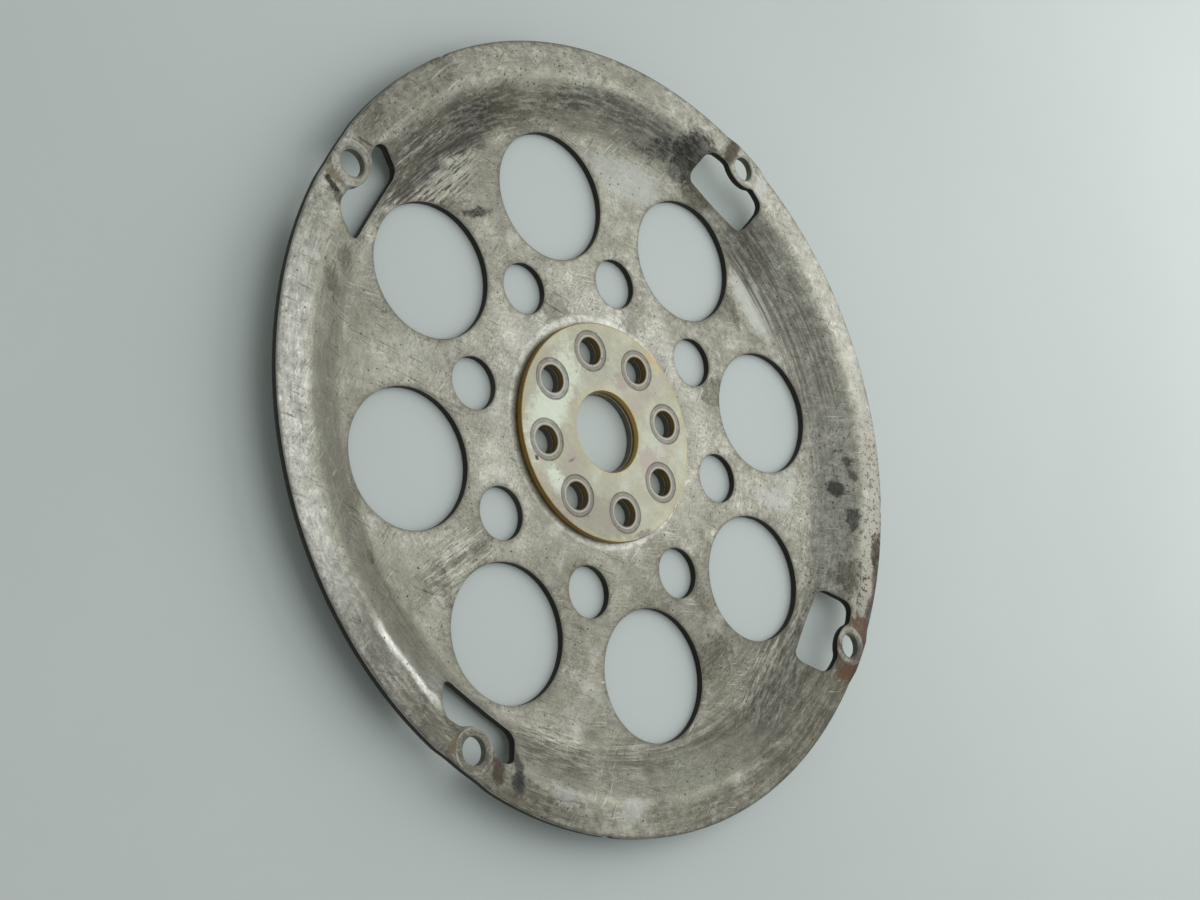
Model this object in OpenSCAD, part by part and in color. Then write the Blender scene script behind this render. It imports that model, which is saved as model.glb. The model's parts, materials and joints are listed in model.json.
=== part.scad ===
// Drive plate (flexplate) of an automatic gearbox, with its reinforcing washer.
// The plate lies with the back of its web on z = 0. The crank axis is Z, and the
// flange and the torque converter are on the +Z side.

/* [Plate] */
// Outside diameter of the stamped plate
rim_d = 308; // [270:1:350]
// Thickness of the sheet
sheet_t = 3; // [2.4:0.1:3.6]
// Radius rolled onto the sheared edge of the rim
rim_roll_r = 0.6; // [0.3:0.1:1]
// Bevel that the punch leaves on the front edge of each round hole
hole_bevel = 0.3; // [0.1:0.1:0.6]

/* [Dish] */
// Height of the flange's front face over the web's front face
dish_h = 11.3; // [9:0.1:13]
// Width of the flange, from the rim in to where its plane would meet the slope
flange_w = 12.8; // [11:0.1:15]
// Width of the slope seen along the crank axis, out to that same circle
slope_w = 19.5; // [16:0.1:23]
// Radius of the bend from web to slope, on the front
web_bend_r = 14; // [8:0.5:18]
// Radius of the bend from slope to flange, on the front
flange_bend_r = 9.5; // [7:0.5:12]

/* [Crank hub] */
// Bore that centres the plate on the crank
pilot_d = 31; // [28:0.5:34]
// Pitch circle of the crank bolts
crank_pcd = 64; // [60:0.5:68]
// Number of crank bolts
crank_bolts = 8; // [4:1:8]
// Diameter of each crank bolt hole
crank_hole_d = 10.6; // [8:0.1:12]

/* [Lightening holes] */
// Number of large holes, and of small holes midway between them
light_holes = 8; // [6:1:9]
// Metal left between neighbouring large holes
spoke_w = 21.1; // [17:0.1:25]
// Metal left between a large hole and the circle where the slope starts
large_margin = 0.9; // [0.5:0.1:3]
// Diameter of each small hole
small_d = 20; // [14:0.5:24]
// Metal left between the washer's rim and a small hole
small_margin = 10.25; // [8:0.05:12]

/* [Converter pads] */
// Distance from the rim in to the circle of the converter bolts
converter_margin = 8.25; // [7:0.05:9.5]
// Diameter of each converter bolt hole
converter_hole_d = 10; // [8:0.1:11]
// Number of converter pads
pads = 4; // [2:1:4]
// Height that each pad is pressed up from the flange
pad_rise = 1.2; // [0.8:0.1:1.8]
// Width of the pad's flat top
pad_top_w = 15; // [13:0.5:18]
// Width of the ramp at each side of the pad's flat top
pad_ramp_w = 6; // [4:0.5:7]

/* [Slots] */
// Distance from the circle of the converter bolts in to the slot's outer edge
slot_margin = 4.05; // [3.5:0.05:5]
// Length of the slot from its inner to its outer edge
slot_l = 14.9; // [13:0.1:16.5]
// Width of the slot
slot_w = 36; // [34:0.5:42]
// Radius of the slot's inner corners
slot_inner_r = 3.8; // [2:0.2:5]
// Radius of the slot's outer corners
slot_outer_r = 5.5; // [4:0.2:6]
// Metal left between the bolt hole's centre and the slot
lobe_reach = 7.75; // [7:0.05:8.4]
// Radius of the lobe that carries the bolt hole
lobe_r = 11.4; // [10.6:0.2:13]
// Radius that blends the lobe into the slot's outer edge
lobe_blend_r = 4.8; // [3:0.2:5.6]

/* [Washer] */
// Metal of the washer outside its bolt holes
washer_margin = 5.95; // [4:0.05:8]
// Thickness of the washer
washer_t = 3; // [2:0.1:4]
// Distance that the washer's bore stands back from the pilot bore
washer_setback = 0.5; // [0.2:0.1:1.5]
// Radius on the washer's turned edges
washer_edge_r = 0.4; // [0.1:0.1:0.8]

/* [Hidden] */
$fn = 144;
// Overrun of every cut past the face that it leaves
over = 1;
// Depth that a pad's ramps are carried into the flange
foot_sink = 0.3;
full_turn = 360;
rim_r = rim_d / 2;
flange_corner_r = rim_r - flange_w;
web_corner_r = flange_corner_r - slope_w;
slope_angle = atan(dish_h / (flange_corner_r - web_corner_r));
plate_h = sheet_t + dish_h;
pad_top = plate_h + pad_rise;
crank_r = crank_pcd / 2;
washer_bore_r = pilot_d / 2 + washer_setback;
washer_r = crank_r + crank_hole_d / 2 + washer_margin;
large_step = full_turn / light_holes;
half_chord = sin(large_step / 2);
large_r = (web_corner_r - large_margin + spoke_w / 2) / (1 + half_chord);
large_d = 2 * large_r * half_chord - spoke_w;
small_r = washer_r + small_margin + small_d / 2;
converter_r = rim_r - converter_margin;
pad_turn = large_step;
slot_outer = converter_r - slot_margin;
slot_inner = slot_outer - slot_l;

// Puts n copies on a circle of radius r, the first at angle turn
module ring(n, r, turn = 0)
    for (i = [0 : n - 1])
        rotate(turn + i * full_turn / n) translate([r, 0, 0]) children();

// Cutter that rounds the corner of a square edge at the origin, metal at -x and -y
module corner_cutter(r)
    difference() {
        translate([-r, -r]) square(r + over);
        translate([-r, -r]) circle(r);
    }

// Half section under a surface that runs depth below the plate's front face: the
// web's plane, a hollow bend about a centre above, the slope, a bend about a centre
// below, and the flange's plane. Both bends keep their centres at every depth.
module section_under(depth, reach) {
    half = slope_angle / 2;
    shift = depth * tan(half);
    corner_1 = [web_corner_r + shift, sheet_t - depth];
    corner_2 = [flange_corner_r + shift, plate_h - depth];
    r_1 = web_bend_r + depth;
    r_2 = flange_bend_r - depth;
    t_1 = r_1 * tan(half);
    t_2 = r_2 * tan(half);
    along = [cos(slope_angle), sin(slope_angle)];
    difference() {
        union() {
            polygon([[0, -plate_h], [0, corner_1[1]], corner_1, corner_2,
                     [reach, corner_2[1]], [reach, -plate_h]]);
            difference() {
                polygon([corner_1 - [t_1, 0], corner_1 - [0, sheet_t], corner_1 + t_1 * along]);
                translate([corner_1[0] - t_1, corner_1[1] + r_1]) circle(r_1);
            }
        }
        difference() {
            polygon([corner_2 - t_2 * along, corner_2 + [0, over], corner_2 + [t_2, 0]]);
            translate([corner_2[0] + t_2, corner_2[1] - r_2]) circle(r_2);
        }
    }
}

// Half section of the dished sheet with its rolled rim
module dish_section()
    difference() {
        section_under(0, rim_r);
        section_under(sheet_t, rim_r + over);
        translate([rim_r, plate_h]) corner_cutter(rim_roll_r);
        translate([rim_r, dish_h]) mirror([0, 1]) corner_cutter(rim_roll_r);
    }

// Profile of a pad over the flange face at height z, filled down to z - fill
module pad_profile(z, fill) {
    foot = pad_top_w / 2 + pad_ramp_w * (1 + foot_sink / pad_rise);
    polygon([[-foot, z - fill], [-foot, z - foot_sink], [-pad_top_w / 2, z + pad_rise],
             [pad_top_w / 2, z + pad_rise], [foot, z - foot_sink], [foot, z - fill]]);
}

// Bar of a pad's profile that runs outwards from the slot's middle
module pad_bar(z, fill) {
    start = (slot_inner + slot_outer) / 2;
    rotate(pad_turn) translate([start, 0, 0]) rotate([90, 0, 90])
        linear_extrude(rim_r + over - start) pad_profile(z, fill);
}

// Slot outline with +y away from the crank axis: a rounded rectangle, less the lobe
// round the converter bolt hole, with the two cusps beside the lobe rounded off
module slot_outline() {
    lobe_c = [0, converter_r - lobe_reach + lobe_r];
    blend_y = slot_outer - lobe_blend_r;
    blend_x = sqrt(pow(lobe_r + lobe_blend_r, 2) - pow(lobe_c[1] - blend_y, 2));
    dir = ([blend_x, blend_y] - lobe_c) / (lobe_r + lobe_blend_r);
    difference() {
        translate([-slot_w / 2, slot_inner]) square([slot_w, slot_outer - slot_inner]);
        translate(lobe_c) circle(lobe_r);
        for (side = [0, 1]) mirror([side, 0]) {
            translate([slot_w / 2, slot_outer]) corner_cutter(slot_outer_r);
            translate([slot_w / 2, slot_inner]) mirror([0, 1]) corner_cutter(slot_inner_r);
            difference() {
                polygon([[blend_x, slot_outer], [blend_x, slot_outer + over],
                         lobe_c + (lobe_r - over) * dir, lobe_c + lobe_r * dir]);
                translate([blend_x, blend_y]) circle(lobe_blend_r);
            }
        }
    }
}

// Cutter for a round hole through everything above z = 0, bevelled at height top
module hole_cutter(d, top) {
    translate([0, 0, -over]) cylinder(d = d, h = pad_top + 2 * over);
    translate([0, 0, top - hole_bevel])
        cylinder(d1 = d, d2 = d + 2 * (hole_bevel + over), h = hole_bevel + over);
}

// Stamped plate: dish, four raised pads, slots and all round holes
module drive_plate()
    color("#9a9b95") difference() {
        union() {
            rotate_extrude() dish_section();
            intersection() {
                for (i = [0 : pads - 1]) rotate(i * full_turn / pads) pad_bar(plate_h, sheet_t / 2);
                cylinder(r = rim_r, h = pad_top + over);
            }
        }
        for (i = [0 : pads - 1]) rotate(i * full_turn / pads) {
            pad_bar(dish_h, plate_h);
            rotate(pad_turn - full_turn / 4) translate([0, 0, -over])
                linear_extrude(pad_top + 2 * over) slot_outline();
        }
        hole_cutter(pilot_d, sheet_t);
        ring(crank_bolts, crank_r) hole_cutter(crank_hole_d, sheet_t);
        ring(light_holes, large_r) hole_cutter(large_d, sheet_t);
        ring(light_holes, small_r, large_step / 2) hole_cutter(small_d, sheet_t);
        ring(pads, converter_r, pad_turn) hole_cutter(converter_hole_d, pad_top);
    }

// Half section of the washer with its four rounded edges
module washer_section()
    difference() {
        translate([washer_bore_r, 0]) square([washer_r - washer_bore_r, washer_t]);
        translate([washer_r, washer_t]) corner_cutter(washer_edge_r);
        translate([washer_r, 0]) mirror([0, 1]) corner_cutter(washer_edge_r);
        translate([washer_bore_r, washer_t]) mirror([1, 0]) corner_cutter(washer_edge_r);
        translate([washer_bore_r, 0]) mirror([1, 0]) mirror([0, 1]) corner_cutter(washer_edge_r);
    }

// Yellow-zinc washer that spreads the load of the crank bolt heads
module reinforcing_washer()
    color("#c4bb8e") translate([0, 0, sheet_t]) difference() {
        rotate_extrude() washer_section();
        ring(crank_bolts, crank_r) hole_cutter(crank_hole_d, washer_t);
    }

drive_plate();
reinforcing_washer();
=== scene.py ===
"""A worn flexplate and its reinforcing washer, lying face up on a pale floor.

Each piece is a pierced sheet: its front and back are heights worked out for every
place on it, its sheared edges are profiles carried along their outlines, and a fine
net of triangles joins them. Lengths are in millimetres until a mesh is written.
"""
import json
import logging
from dataclasses import dataclass, field
from enum import Enum
from typing import Any, Callable, Sequence, Union

import bpy
import numpy as np
from mathutils import Matrix, Vector
from mathutils.geometry import delaunay_2d_cdt


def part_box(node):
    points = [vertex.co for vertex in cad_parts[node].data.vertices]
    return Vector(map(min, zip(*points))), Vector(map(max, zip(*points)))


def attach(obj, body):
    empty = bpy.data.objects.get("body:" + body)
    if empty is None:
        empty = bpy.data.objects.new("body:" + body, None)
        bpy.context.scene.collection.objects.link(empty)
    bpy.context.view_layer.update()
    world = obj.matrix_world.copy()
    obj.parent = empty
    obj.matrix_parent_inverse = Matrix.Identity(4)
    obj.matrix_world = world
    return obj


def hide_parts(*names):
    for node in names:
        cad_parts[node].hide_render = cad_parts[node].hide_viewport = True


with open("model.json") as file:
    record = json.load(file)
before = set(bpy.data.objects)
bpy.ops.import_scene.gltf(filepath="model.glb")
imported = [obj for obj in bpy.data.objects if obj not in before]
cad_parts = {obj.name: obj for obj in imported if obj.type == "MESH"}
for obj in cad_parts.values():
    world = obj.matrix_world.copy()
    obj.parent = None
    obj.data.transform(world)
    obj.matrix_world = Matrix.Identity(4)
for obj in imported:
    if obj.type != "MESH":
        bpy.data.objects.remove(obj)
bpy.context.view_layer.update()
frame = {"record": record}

LOG = logging.getLogger("flexplate")
BODY = "root"
MM = 0.001
TO_MM = 1000.0
FULL_TURN = 2 * np.pi
QUARTER = np.pi / 2
FEWEST_POINTS = 56
WELL_INSIDE = 0.99
NET_EPSILON = 1e-6
Array = np.ndarray
Surface = Callable[[Array], Array]
Feed = Union[bpy.types.NodeSocket, float, Sequence[float]]
Place = tuple[float, float]


def mount_dims(name: str) -> dict[str, float]:
    """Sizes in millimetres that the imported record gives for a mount.

    Args:
        name: The mount's name in the record.

    Returns:
        The mount's dims, such as its pitch circle and hole radius.
    """
    return next(m["dims"] for m in frame["record"]["mounts"] if m["name"] == name)


def ease(value: Array, low: float, high: float) -> Array:
    """Smooth step: 0 below low, 1 above high, and 3s2 - 2s3 of the share s between them."""
    share = np.clip((value - low) / (high - low), 0, 1)
    return share * share * (3 - 2 * share)


def on_circle(radius: float, degrees: float) -> Place:
    """Place at a radius from the crank axis, turned anticlockwise from +X."""
    turn = np.radians(degrees)
    return float(radius * np.cos(turn)), float(radius * np.sin(turn))


class Outline:
    """One sheared edge of a sheet, seen along its axis, with the metal on its left.

    Attributes:
        points: Places along the edge, one row each.
        roll: Radius that the edge has on the front.
        burr: Radius that it has on the back.
    """

    def __init__(self, points: Array, roll: float, burr: float) -> None:
        """Keeps the places and the two edge radii.

        Args:
            points: Places along the edge, one row each.
            roll: Radius that the edge has on the front.
            burr: Radius that it has on the back.
        """
        self.points = points
        self.roll = roll
        self.burr = burr

    def inward(self) -> Array:
        """Unit direction into the metal: the left-hand normal of the chord between neighbours."""
        chord = np.roll(self.points, -1, axis=0) - np.roll(self.points, 1, axis=0)
        left = np.stack([-chord[:, 1], chord[:, 0]], axis=1)
        return left / np.linalg.norm(left, axis=1, keepdims=True)

    def distance(self, places: Array, reach: float) -> Array:
        """Distance from each place to the nearest point of the edge, or reach if it is further.

        Args:
            places: Places on the sheet, one row each.
            reach: Distance past which the exact value doesn't matter.

        Returns:
            One distance for each place.
        """
        low, high = self.points.min(axis=0) - reach, self.points.max(axis=0) + reach
        near = np.flatnonzero(np.all((places > low) & (places < high), axis=1))
        gaps = np.linalg.norm(places[near, None, :] - self.points[None, :, :], axis=2)
        found = np.full(len(places), reach)
        found[near] = np.minimum(gaps.min(axis=1), reach)
        return found


class RoundEdge(Outline):
    """A round hole, or the round rim when hole is False."""

    def __init__(self, radius: float, centre: Place = (0.0, 0.0), hole: bool = True,
                 roll: float = 0.35, burr: float = 0.2, pitch: float = 0.9) -> None:
        """Centre plus radius times cosine and sine of the turn, clockwise round a hole.

        Args:
            radius: Radius of the edge.
            centre: Its centre.
            hole: True if the metal lies outside it.
            roll: Radius of the front edge.
            burr: Radius of the back edge.
            pitch: Spacing of the points.
        """
        count = max(FEWEST_POINTS, int(FULL_TURN * radius / pitch))
        turn = np.linspace(0, FULL_TURN, count, endpoint=False) * (-1 if hole else 1)
        ring = np.stack([np.cos(turn), np.sin(turn)], axis=1)
        self.radius, self.centre = radius, np.array(centre)
        super().__init__(self.centre + radius * ring, roll, burr)

    def distance(self, places: Array, reach: float) -> Array:
        """Distance to the circle: how far a place's own radius is from the edge's radius."""
        own = np.linalg.norm(places - self.centre, axis=1)
        return np.minimum(np.abs(own - self.radius), reach)


@dataclass(frozen=True)
class SlotShape:
    """Slot beside a converter bolt hole, with a lobe of metal reaching into it.

    Attributes:
        inner: Distance from the crank axis to the straight inner edge.
        outer: Distance from the crank axis to the outer edge.
        half: Half width of the slot.
        inner_r: Radius of the inner corners.
        outer_r: Radius of the outer corners.
        lobe_foot: Distance from the crank axis to the lobe's innermost point.
        lobe_r: Radius of the lobe.
        blend_r: Radius that joins the lobe to the outer edge.
        pitch: Spacing of the points.
    """

    inner: float
    outer: float
    half: float = 18.0
    inner_r: float = 3.8
    outer_r: float = 5.5
    lobe_foot: float = 138.0
    lobe_r: float = 11.4
    blend_r: float = 4.8
    pitch: float = 0.8

    def _arc(self, centre: Place, radius: float, start: float, stop: float) -> Array:
        """Arc about a centre between two turns, without its last point.

        Args:
            centre: Centre of the arc.
            radius: Its radius.
            start: First turn in radians.
            stop: Last turn in radians.

        Returns:
            The places, one row each.
        """
        count = max(4, int(abs(stop - start) * radius / self.pitch))
        turn = np.linspace(start, stop, count, endpoint=False)
        return np.array(centre) + radius * np.stack([np.cos(turn), np.sin(turn)], axis=1)

    def _line(self, start: Place, stop: Place) -> Array:
        """Straight run between two places, without its last point.

        Args:
            start: First place.
            stop: Last place.

        Returns:
            The places, one row each.
        """
        start, stop = np.array(start), np.array(stop)
        count = max(2, int(np.linalg.norm(stop - start) / self.pitch))
        return start + np.linspace(0, 1, count, endpoint=False)[:, None] * (stop - start)

    def edge(self, turn: float) -> Outline:
        """Outline of the slot: half of it as lines and arcs, mirrored, then turned.

        Args:
            turn: Turn of the slot's middle from +X, in radians.

        Returns:
            The outline with the metal on its left.
        """
        lobe = np.array([0.0, self.lobe_foot + self.lobe_r])
        blend_y = self.outer - self.blend_r
        blend_x = np.sqrt((self.lobe_r + self.blend_r) ** 2 - (lobe[1] - blend_y) ** 2)
        back = np.arctan2(lobe[1] - blend_y, -blend_x)
        side_in, side_out = self.half - self.inner_r, self.half - self.outer_r
        half = np.concatenate([
            self._line((0, self.inner), (side_in, self.inner)),
            self._arc((side_in, self.inner + self.inner_r), self.inner_r, -QUARTER, 0),
            self._line((self.half, self.inner + self.inner_r),
                       (self.half, self.outer - self.outer_r)),
            self._arc((side_out, self.outer - self.outer_r), self.outer_r, 0, QUARTER),
            self._line((side_out, self.outer), (blend_x, self.outer)),
            self._arc((blend_x, blend_y), self.blend_r, QUARTER, back),
            self._arc(lobe, self.lobe_r, back - np.pi, -QUARTER)])
        foot = np.array([[0.0, self.lobe_foot]])
        mirrored = half[:0:-1] * (-1, 1)
        u, v = np.concatenate([half, foot, mirrored]).T
        turned = [v * np.cos(turn) - u * np.sin(turn), v * np.sin(turn) + u * np.cos(turn)]
        return Outline(np.stack(turned, axis=1), roll=0.4, burr=0.2)


def lattice(inner: float, outer: float, gap: float, around: int, stagger: bool = True) -> Array:
    """Rings of evenly spaced places between two radii.

    Place k of ring j lies at radius inner + j * gap and at turn (k + half of j's
    oddness) / around, so that neighbouring rings are staggered.

    Args:
        inner: Radius of the first ring.
        outer: Radius that no ring passes.
        gap: Distance between rings.
        around: Places on each ring, or 0 to keep them about one gap apart.
        stagger: True to turn every other ring by half a step.

    Returns:
        The places, one row each.
    """
    rings = []
    for order, radius in enumerate(np.arange(inner, outer, gap)):
        count = around or max(6, int(FULL_TURN * radius / gap))
        turn = (np.arange(count) + (order % 2) / 2 * stagger) * FULL_TURN / count
        rings.append(radius * np.stack([np.cos(turn), np.sin(turn)], axis=1))
    return np.concatenate(rings)


def encloses(loop: Array, places: Array) -> Array:
    """Tells which places lie inside a closed loop.

    A place is inside where a ray from it towards +X crosses the loop an odd number of times.

    Args:
        loop: Places along the loop, one row each.
        places: Places to test.

    Returns:
        True for each place inside.
    """
    low, high = loop.min(axis=0), loop.max(axis=0)
    near = np.flatnonzero(np.all((places > low) & (places < high), axis=1))
    (x0, y0), (x1, y1) = loop.T, np.roll(loop, -1, axis=0).T
    x, y = places[near, :1], places[near, 1:]
    spans = (y0 > y) != (y1 > y)
    rise = np.where(y1 == y0, 1.0, y1 - y0)
    crossed = spans & (x < x0 + (y - y0) * (x1 - x0) / rise)
    found = np.zeros(len(places), bool)
    found[near] = np.count_nonzero(crossed, axis=1) % 2 == 1
    return found


@dataclass
class Sheet:
    """A pierced sheet between a front and a back height.

    Attributes:
        front: Height of the front at any places.
        back: Height of the back at any places.
        outlines: The rim first, then every hole.
        inner: Places inside the metal that carry its form.
        guard: Flat margin kept between an edge's roll and the inner net.
        reach: Distance past which the distance to an edge isn't kept.
        front_rows: Rows of a roll on the front.
        back_rows: Rows of a roll on the back.
    """

    front: Surface
    back: Surface
    outlines: list[Outline]
    inner: Array
    guard: float = 0.5
    reach: float = 14.0
    front_rows: int = 5
    back_rows: int = 3
    _places: list[Array] = field(default_factory=list)
    _marks: list[Array] = field(default_factory=list)
    _faces: list[Array] = field(default_factory=list)
    _count: int = 0

    def _keep(self, places: Array, edge: Array, wall: Array, back: float) -> Array:
        """Adds vertices with their three marks and returns their numbers.

        Args:
            places: The vertices, one row of three each.
            edge: Distance of each to the nearest sheared edge.
            wall: Share of sheared wall of each.
            back: 1 on the back, 0 on the front.

        Returns:
            Their numbers.
        """
        count = len(places)
        self._places.append(places)
        self._marks.append(np.stack([edge, wall, np.full(count, back)], axis=1))
        self._count += count
        return np.arange(self._count - count, self._count)

    def _rows(self, outline: Outline, surface: Surface, radius: float, side: int
              ) -> tuple[Array, Array, Array]:
        """Rows of one edge's roll.

        Over a quarter turn a they lie r(1 - sin a) inwards and r(1 - cos a) deep.

        Args:
            outline: The edge.
            surface: Height of the side that is rolled.
            radius: Radius of the roll.
            side: 1 for the front, whose depth goes down, or -1 for the back.

        Returns:
            The rows of places, each row's distance to the edge, and its share of wall.
        """
        turn = np.linspace(0, QUARTER, self.front_rows if side > 0 else self.back_rows)
        offset = np.concatenate([[radius + self.guard], radius * (1 - np.sin(turn))])
        depth = np.concatenate([[0.0], radius * (1 - np.cos(turn))])
        flat = outline.points + offset[:, None, None] * outline.inward()
        height = surface(flat.reshape(-1, 2)).reshape(flat.shape[:2]) - side * depth[:, None]
        return np.concatenate([flat, height[..., None]], axis=2), offset, ease(depth, 0, radius)

    def _edge(self, outline: Outline) -> tuple[Array, Array]:
        """Carries the edge's profile round its outline and returns its first and last row.

        Args:
            outline: The edge.

        Returns:
            Vertex numbers of its first and its last row.
        """
        top, top_offset, top_wall = self._rows(outline, self.front, outline.roll, 1)
        low, low_offset, low_wall = self._rows(outline, self.back, outline.burr, -1)
        size = len(outline.points)
        upper = self._keep(top.reshape(-1, 3), np.repeat(top_offset, size),
                           np.repeat(top_wall, size), 0.0)
        lower = self._keep(low[::-1].reshape(-1, 3), np.repeat(low_offset[::-1], size),
                           np.repeat(low_wall[::-1], size), 1.0)
        grid = np.concatenate([upper, lower]).reshape(-1, size)
        here, below = grid[:-1], grid[1:]
        after, corner = np.roll(here, -1, axis=1), np.roll(below, -1, axis=1)
        self._faces.append(np.stack([here, below, corner], axis=-1).reshape(-1, 3))
        self._faces.append(np.stack([here, corner, after], axis=-1).reshape(-1, 3))
        return grid[0], grid[-1]

    def _cap(self, border: list[Array], surface: Surface, back: float) -> None:
        """Fills one side between its borders with a constrained triangle net.

        Args:
            border: Vertex numbers of each outline's innermost row.
            surface: Height of the side.
            back: 1 for the back, whose triangles are turned over.
        """
        known = np.concatenate(self._places)[:, :2]
        loops = [known[numbers] for numbers in border]
        starts = np.cumsum([0] + [len(loop) for loop in loops[:-1]])
        sides = [start + np.stack([np.arange(len(loop)), np.roll(np.arange(len(loop)), -1)], axis=1)
                 for start, loop in zip(starts, loops)]
        flat = np.concatenate(loops + [self.inner])
        net = delaunay_2d_cdt(flat, np.concatenate(sides), [], 0, NET_EPSILON, False)
        faces = np.array(net[2])
        centres = flat[faces].mean(axis=1)
        own = np.hypot(*centres.T)
        kept = own < WELL_INSIDE * np.hypot(*loops[0].T).min()
        kept[~kept] = encloses(loops[0], centres[~kept])
        faces, centres = faces[kept], centres[kept]
        for loop in loops[1:]:
            kept = ~encloses(loop, centres)
            faces, centres = faces[kept], centres[kept]
        (ax, ay), (bx, by), (cx, cy) = (flat[faces[:, k]].T for k in range(3))
        clockwise = (bx - ax) * (cy - ay) < (by - ay) * (cx - ax)
        turned = clockwise != bool(back)
        faces[turned] = faces[turned][:, ::-1]
        inner = np.column_stack([self.inner, surface(self.inner)])
        edge = np.min([o.distance(self.inner, self.reach) for o in self.outlines], axis=0)
        added = self._keep(inner, edge, np.zeros(len(inner)), back)
        self._faces.append(np.concatenate(border + [added])[faces])

    def build(self, name: str) -> bpy.types.Object:
        """Makes the sheet's mesh with its marks edge_mm, wall and back on every vertex.

        Args:
            name: Name of the piece.

        Returns:
            The linked object, at the origin, unturned and unscaled.
        """
        room = [o.distance(self.inner, self.reach) - o.roll - self.guard for o in self.outlines]
        self.inner = self.inner[np.min(room, axis=0) > self.guard]
        for outline in self.outlines[1:]:
            self.inner = self.inner[~encloses(outline.points, self.inner)]
        ends = [self._edge(outline) for outline in self.outlines]
        self._cap([first for first, _ in ends], self.front, 0.0)
        self._cap([last for _, last in ends], self.back, 1.0)
        mesh = bpy.data.meshes.new(name)
        faces = np.concatenate(self._faces)
        mesh.from_pydata(np.concatenate(self._places) * MM, [], faces.tolist())
        marks = np.concatenate(self._marks)
        for column, mark in enumerate(("edge_mm", "wall", "back")):
            layer = mesh.attributes.new(mark, "FLOAT", "POINT")
            values = np.ascontiguousarray(marks[:, column], dtype=np.float32)
            layer.data.foreach_set("value", values)
        mesh.polygons.foreach_set("use_smooth", np.ones(len(faces), bool))
        mesh.update()
        mesh.validate()
        made = bpy.data.objects.new(name, mesh)
        bpy.context.scene.collection.objects.link(made)
        LOG.info("%s: %d vertices, %d triangles", name, self._count, len(faces))
        return made


@dataclass(frozen=True)
class Dish:
    """Half section of the dished sheet: web, hollow bend, slope, bend and flange.

    Attributes:
        sheet: Thickness of the sheet.
        rise: Height of the flange over the web.
        web_corner: Radius where the web's plane would meet the slope.
        flange_corner: Radius where the slope would meet the flange's plane.
        web_bend: Radius of the bend from web to slope, on the front.
        flange_bend: Radius of the bend from slope to flange, on the front.
    """

    sheet: float = 3.0
    rise: float = 11.3
    web_corner: float = 121.7
    flange_corner: float = 141.2
    web_bend: float = 14.0
    flange_bend: float = 9.5

    def height(self, radius: Array, depth: float = 0.0) -> Array:
        """Height of the surface that runs a depth under the front.

        Flat to the web's corner, then rising by the slope's tangent, then flat again;
        over each bend the height follows a circle that touches both straight runs.

        Args:
            radius: Distance of each place from the crank axis.
            depth: Depth under the front, square to the sheet.

        Returns:
            The heights.
        """
        slope = np.arctan2(self.rise, self.flange_corner - self.web_corner)
        shift = depth * np.tan(slope / 2)
        foot, head = self.web_corner + shift, self.flange_corner + shift
        low, high = self.sheet - depth, self.sheet + self.rise - depth
        height = low + np.clip(radius - foot, 0, head - foot) * np.tan(slope)
        hollow, round_off = self.web_bend + depth, self.flange_bend - depth
        start = foot - hollow * np.tan(slope / 2)
        along = np.clip(radius - start, 0, hollow * np.sin(slope))
        height = np.where((radius > start) & (radius < start + hollow * np.sin(slope)),
                          low + hollow - np.sqrt(hollow ** 2 - along ** 2), height)
        stop = head + round_off * np.tan(slope / 2)
        along = np.clip(stop - radius, 0, round_off * np.sin(slope))
        return np.where((radius < stop) & (radius > stop - round_off * np.sin(slope)),
                        high - round_off + np.sqrt(round_off ** 2 - along ** 2), height)


@dataclass(frozen=True)
class Finish:
    """One look of a surface.

    Attributes:
        colour: Display colour, 0 to 255 for each of red, green and blue.
        roughness: Roughness of its gloss.
        metallic: 1 for bare metal, 0 for a coat that covers it.
    """

    colour: tuple[int, int, int]
    roughness: float
    metallic: float

    @property
    def light(self) -> tuple[float, float, float, float]:
        """The display colour as linear light: ((share + 0.055) / 1.055) to the power 2.4."""
        red, green, blue = (((value / 255 + 0.055) / 1.055) ** 2.4 for value in self.colour)
        return red, green, blue, 1.0

    @property
    def surface(self) -> tuple[float, float, float]:
        """Roughness and metal as one vector, so that one node blends both."""
        return self.roughness, self.metallic, 0.0


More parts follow.
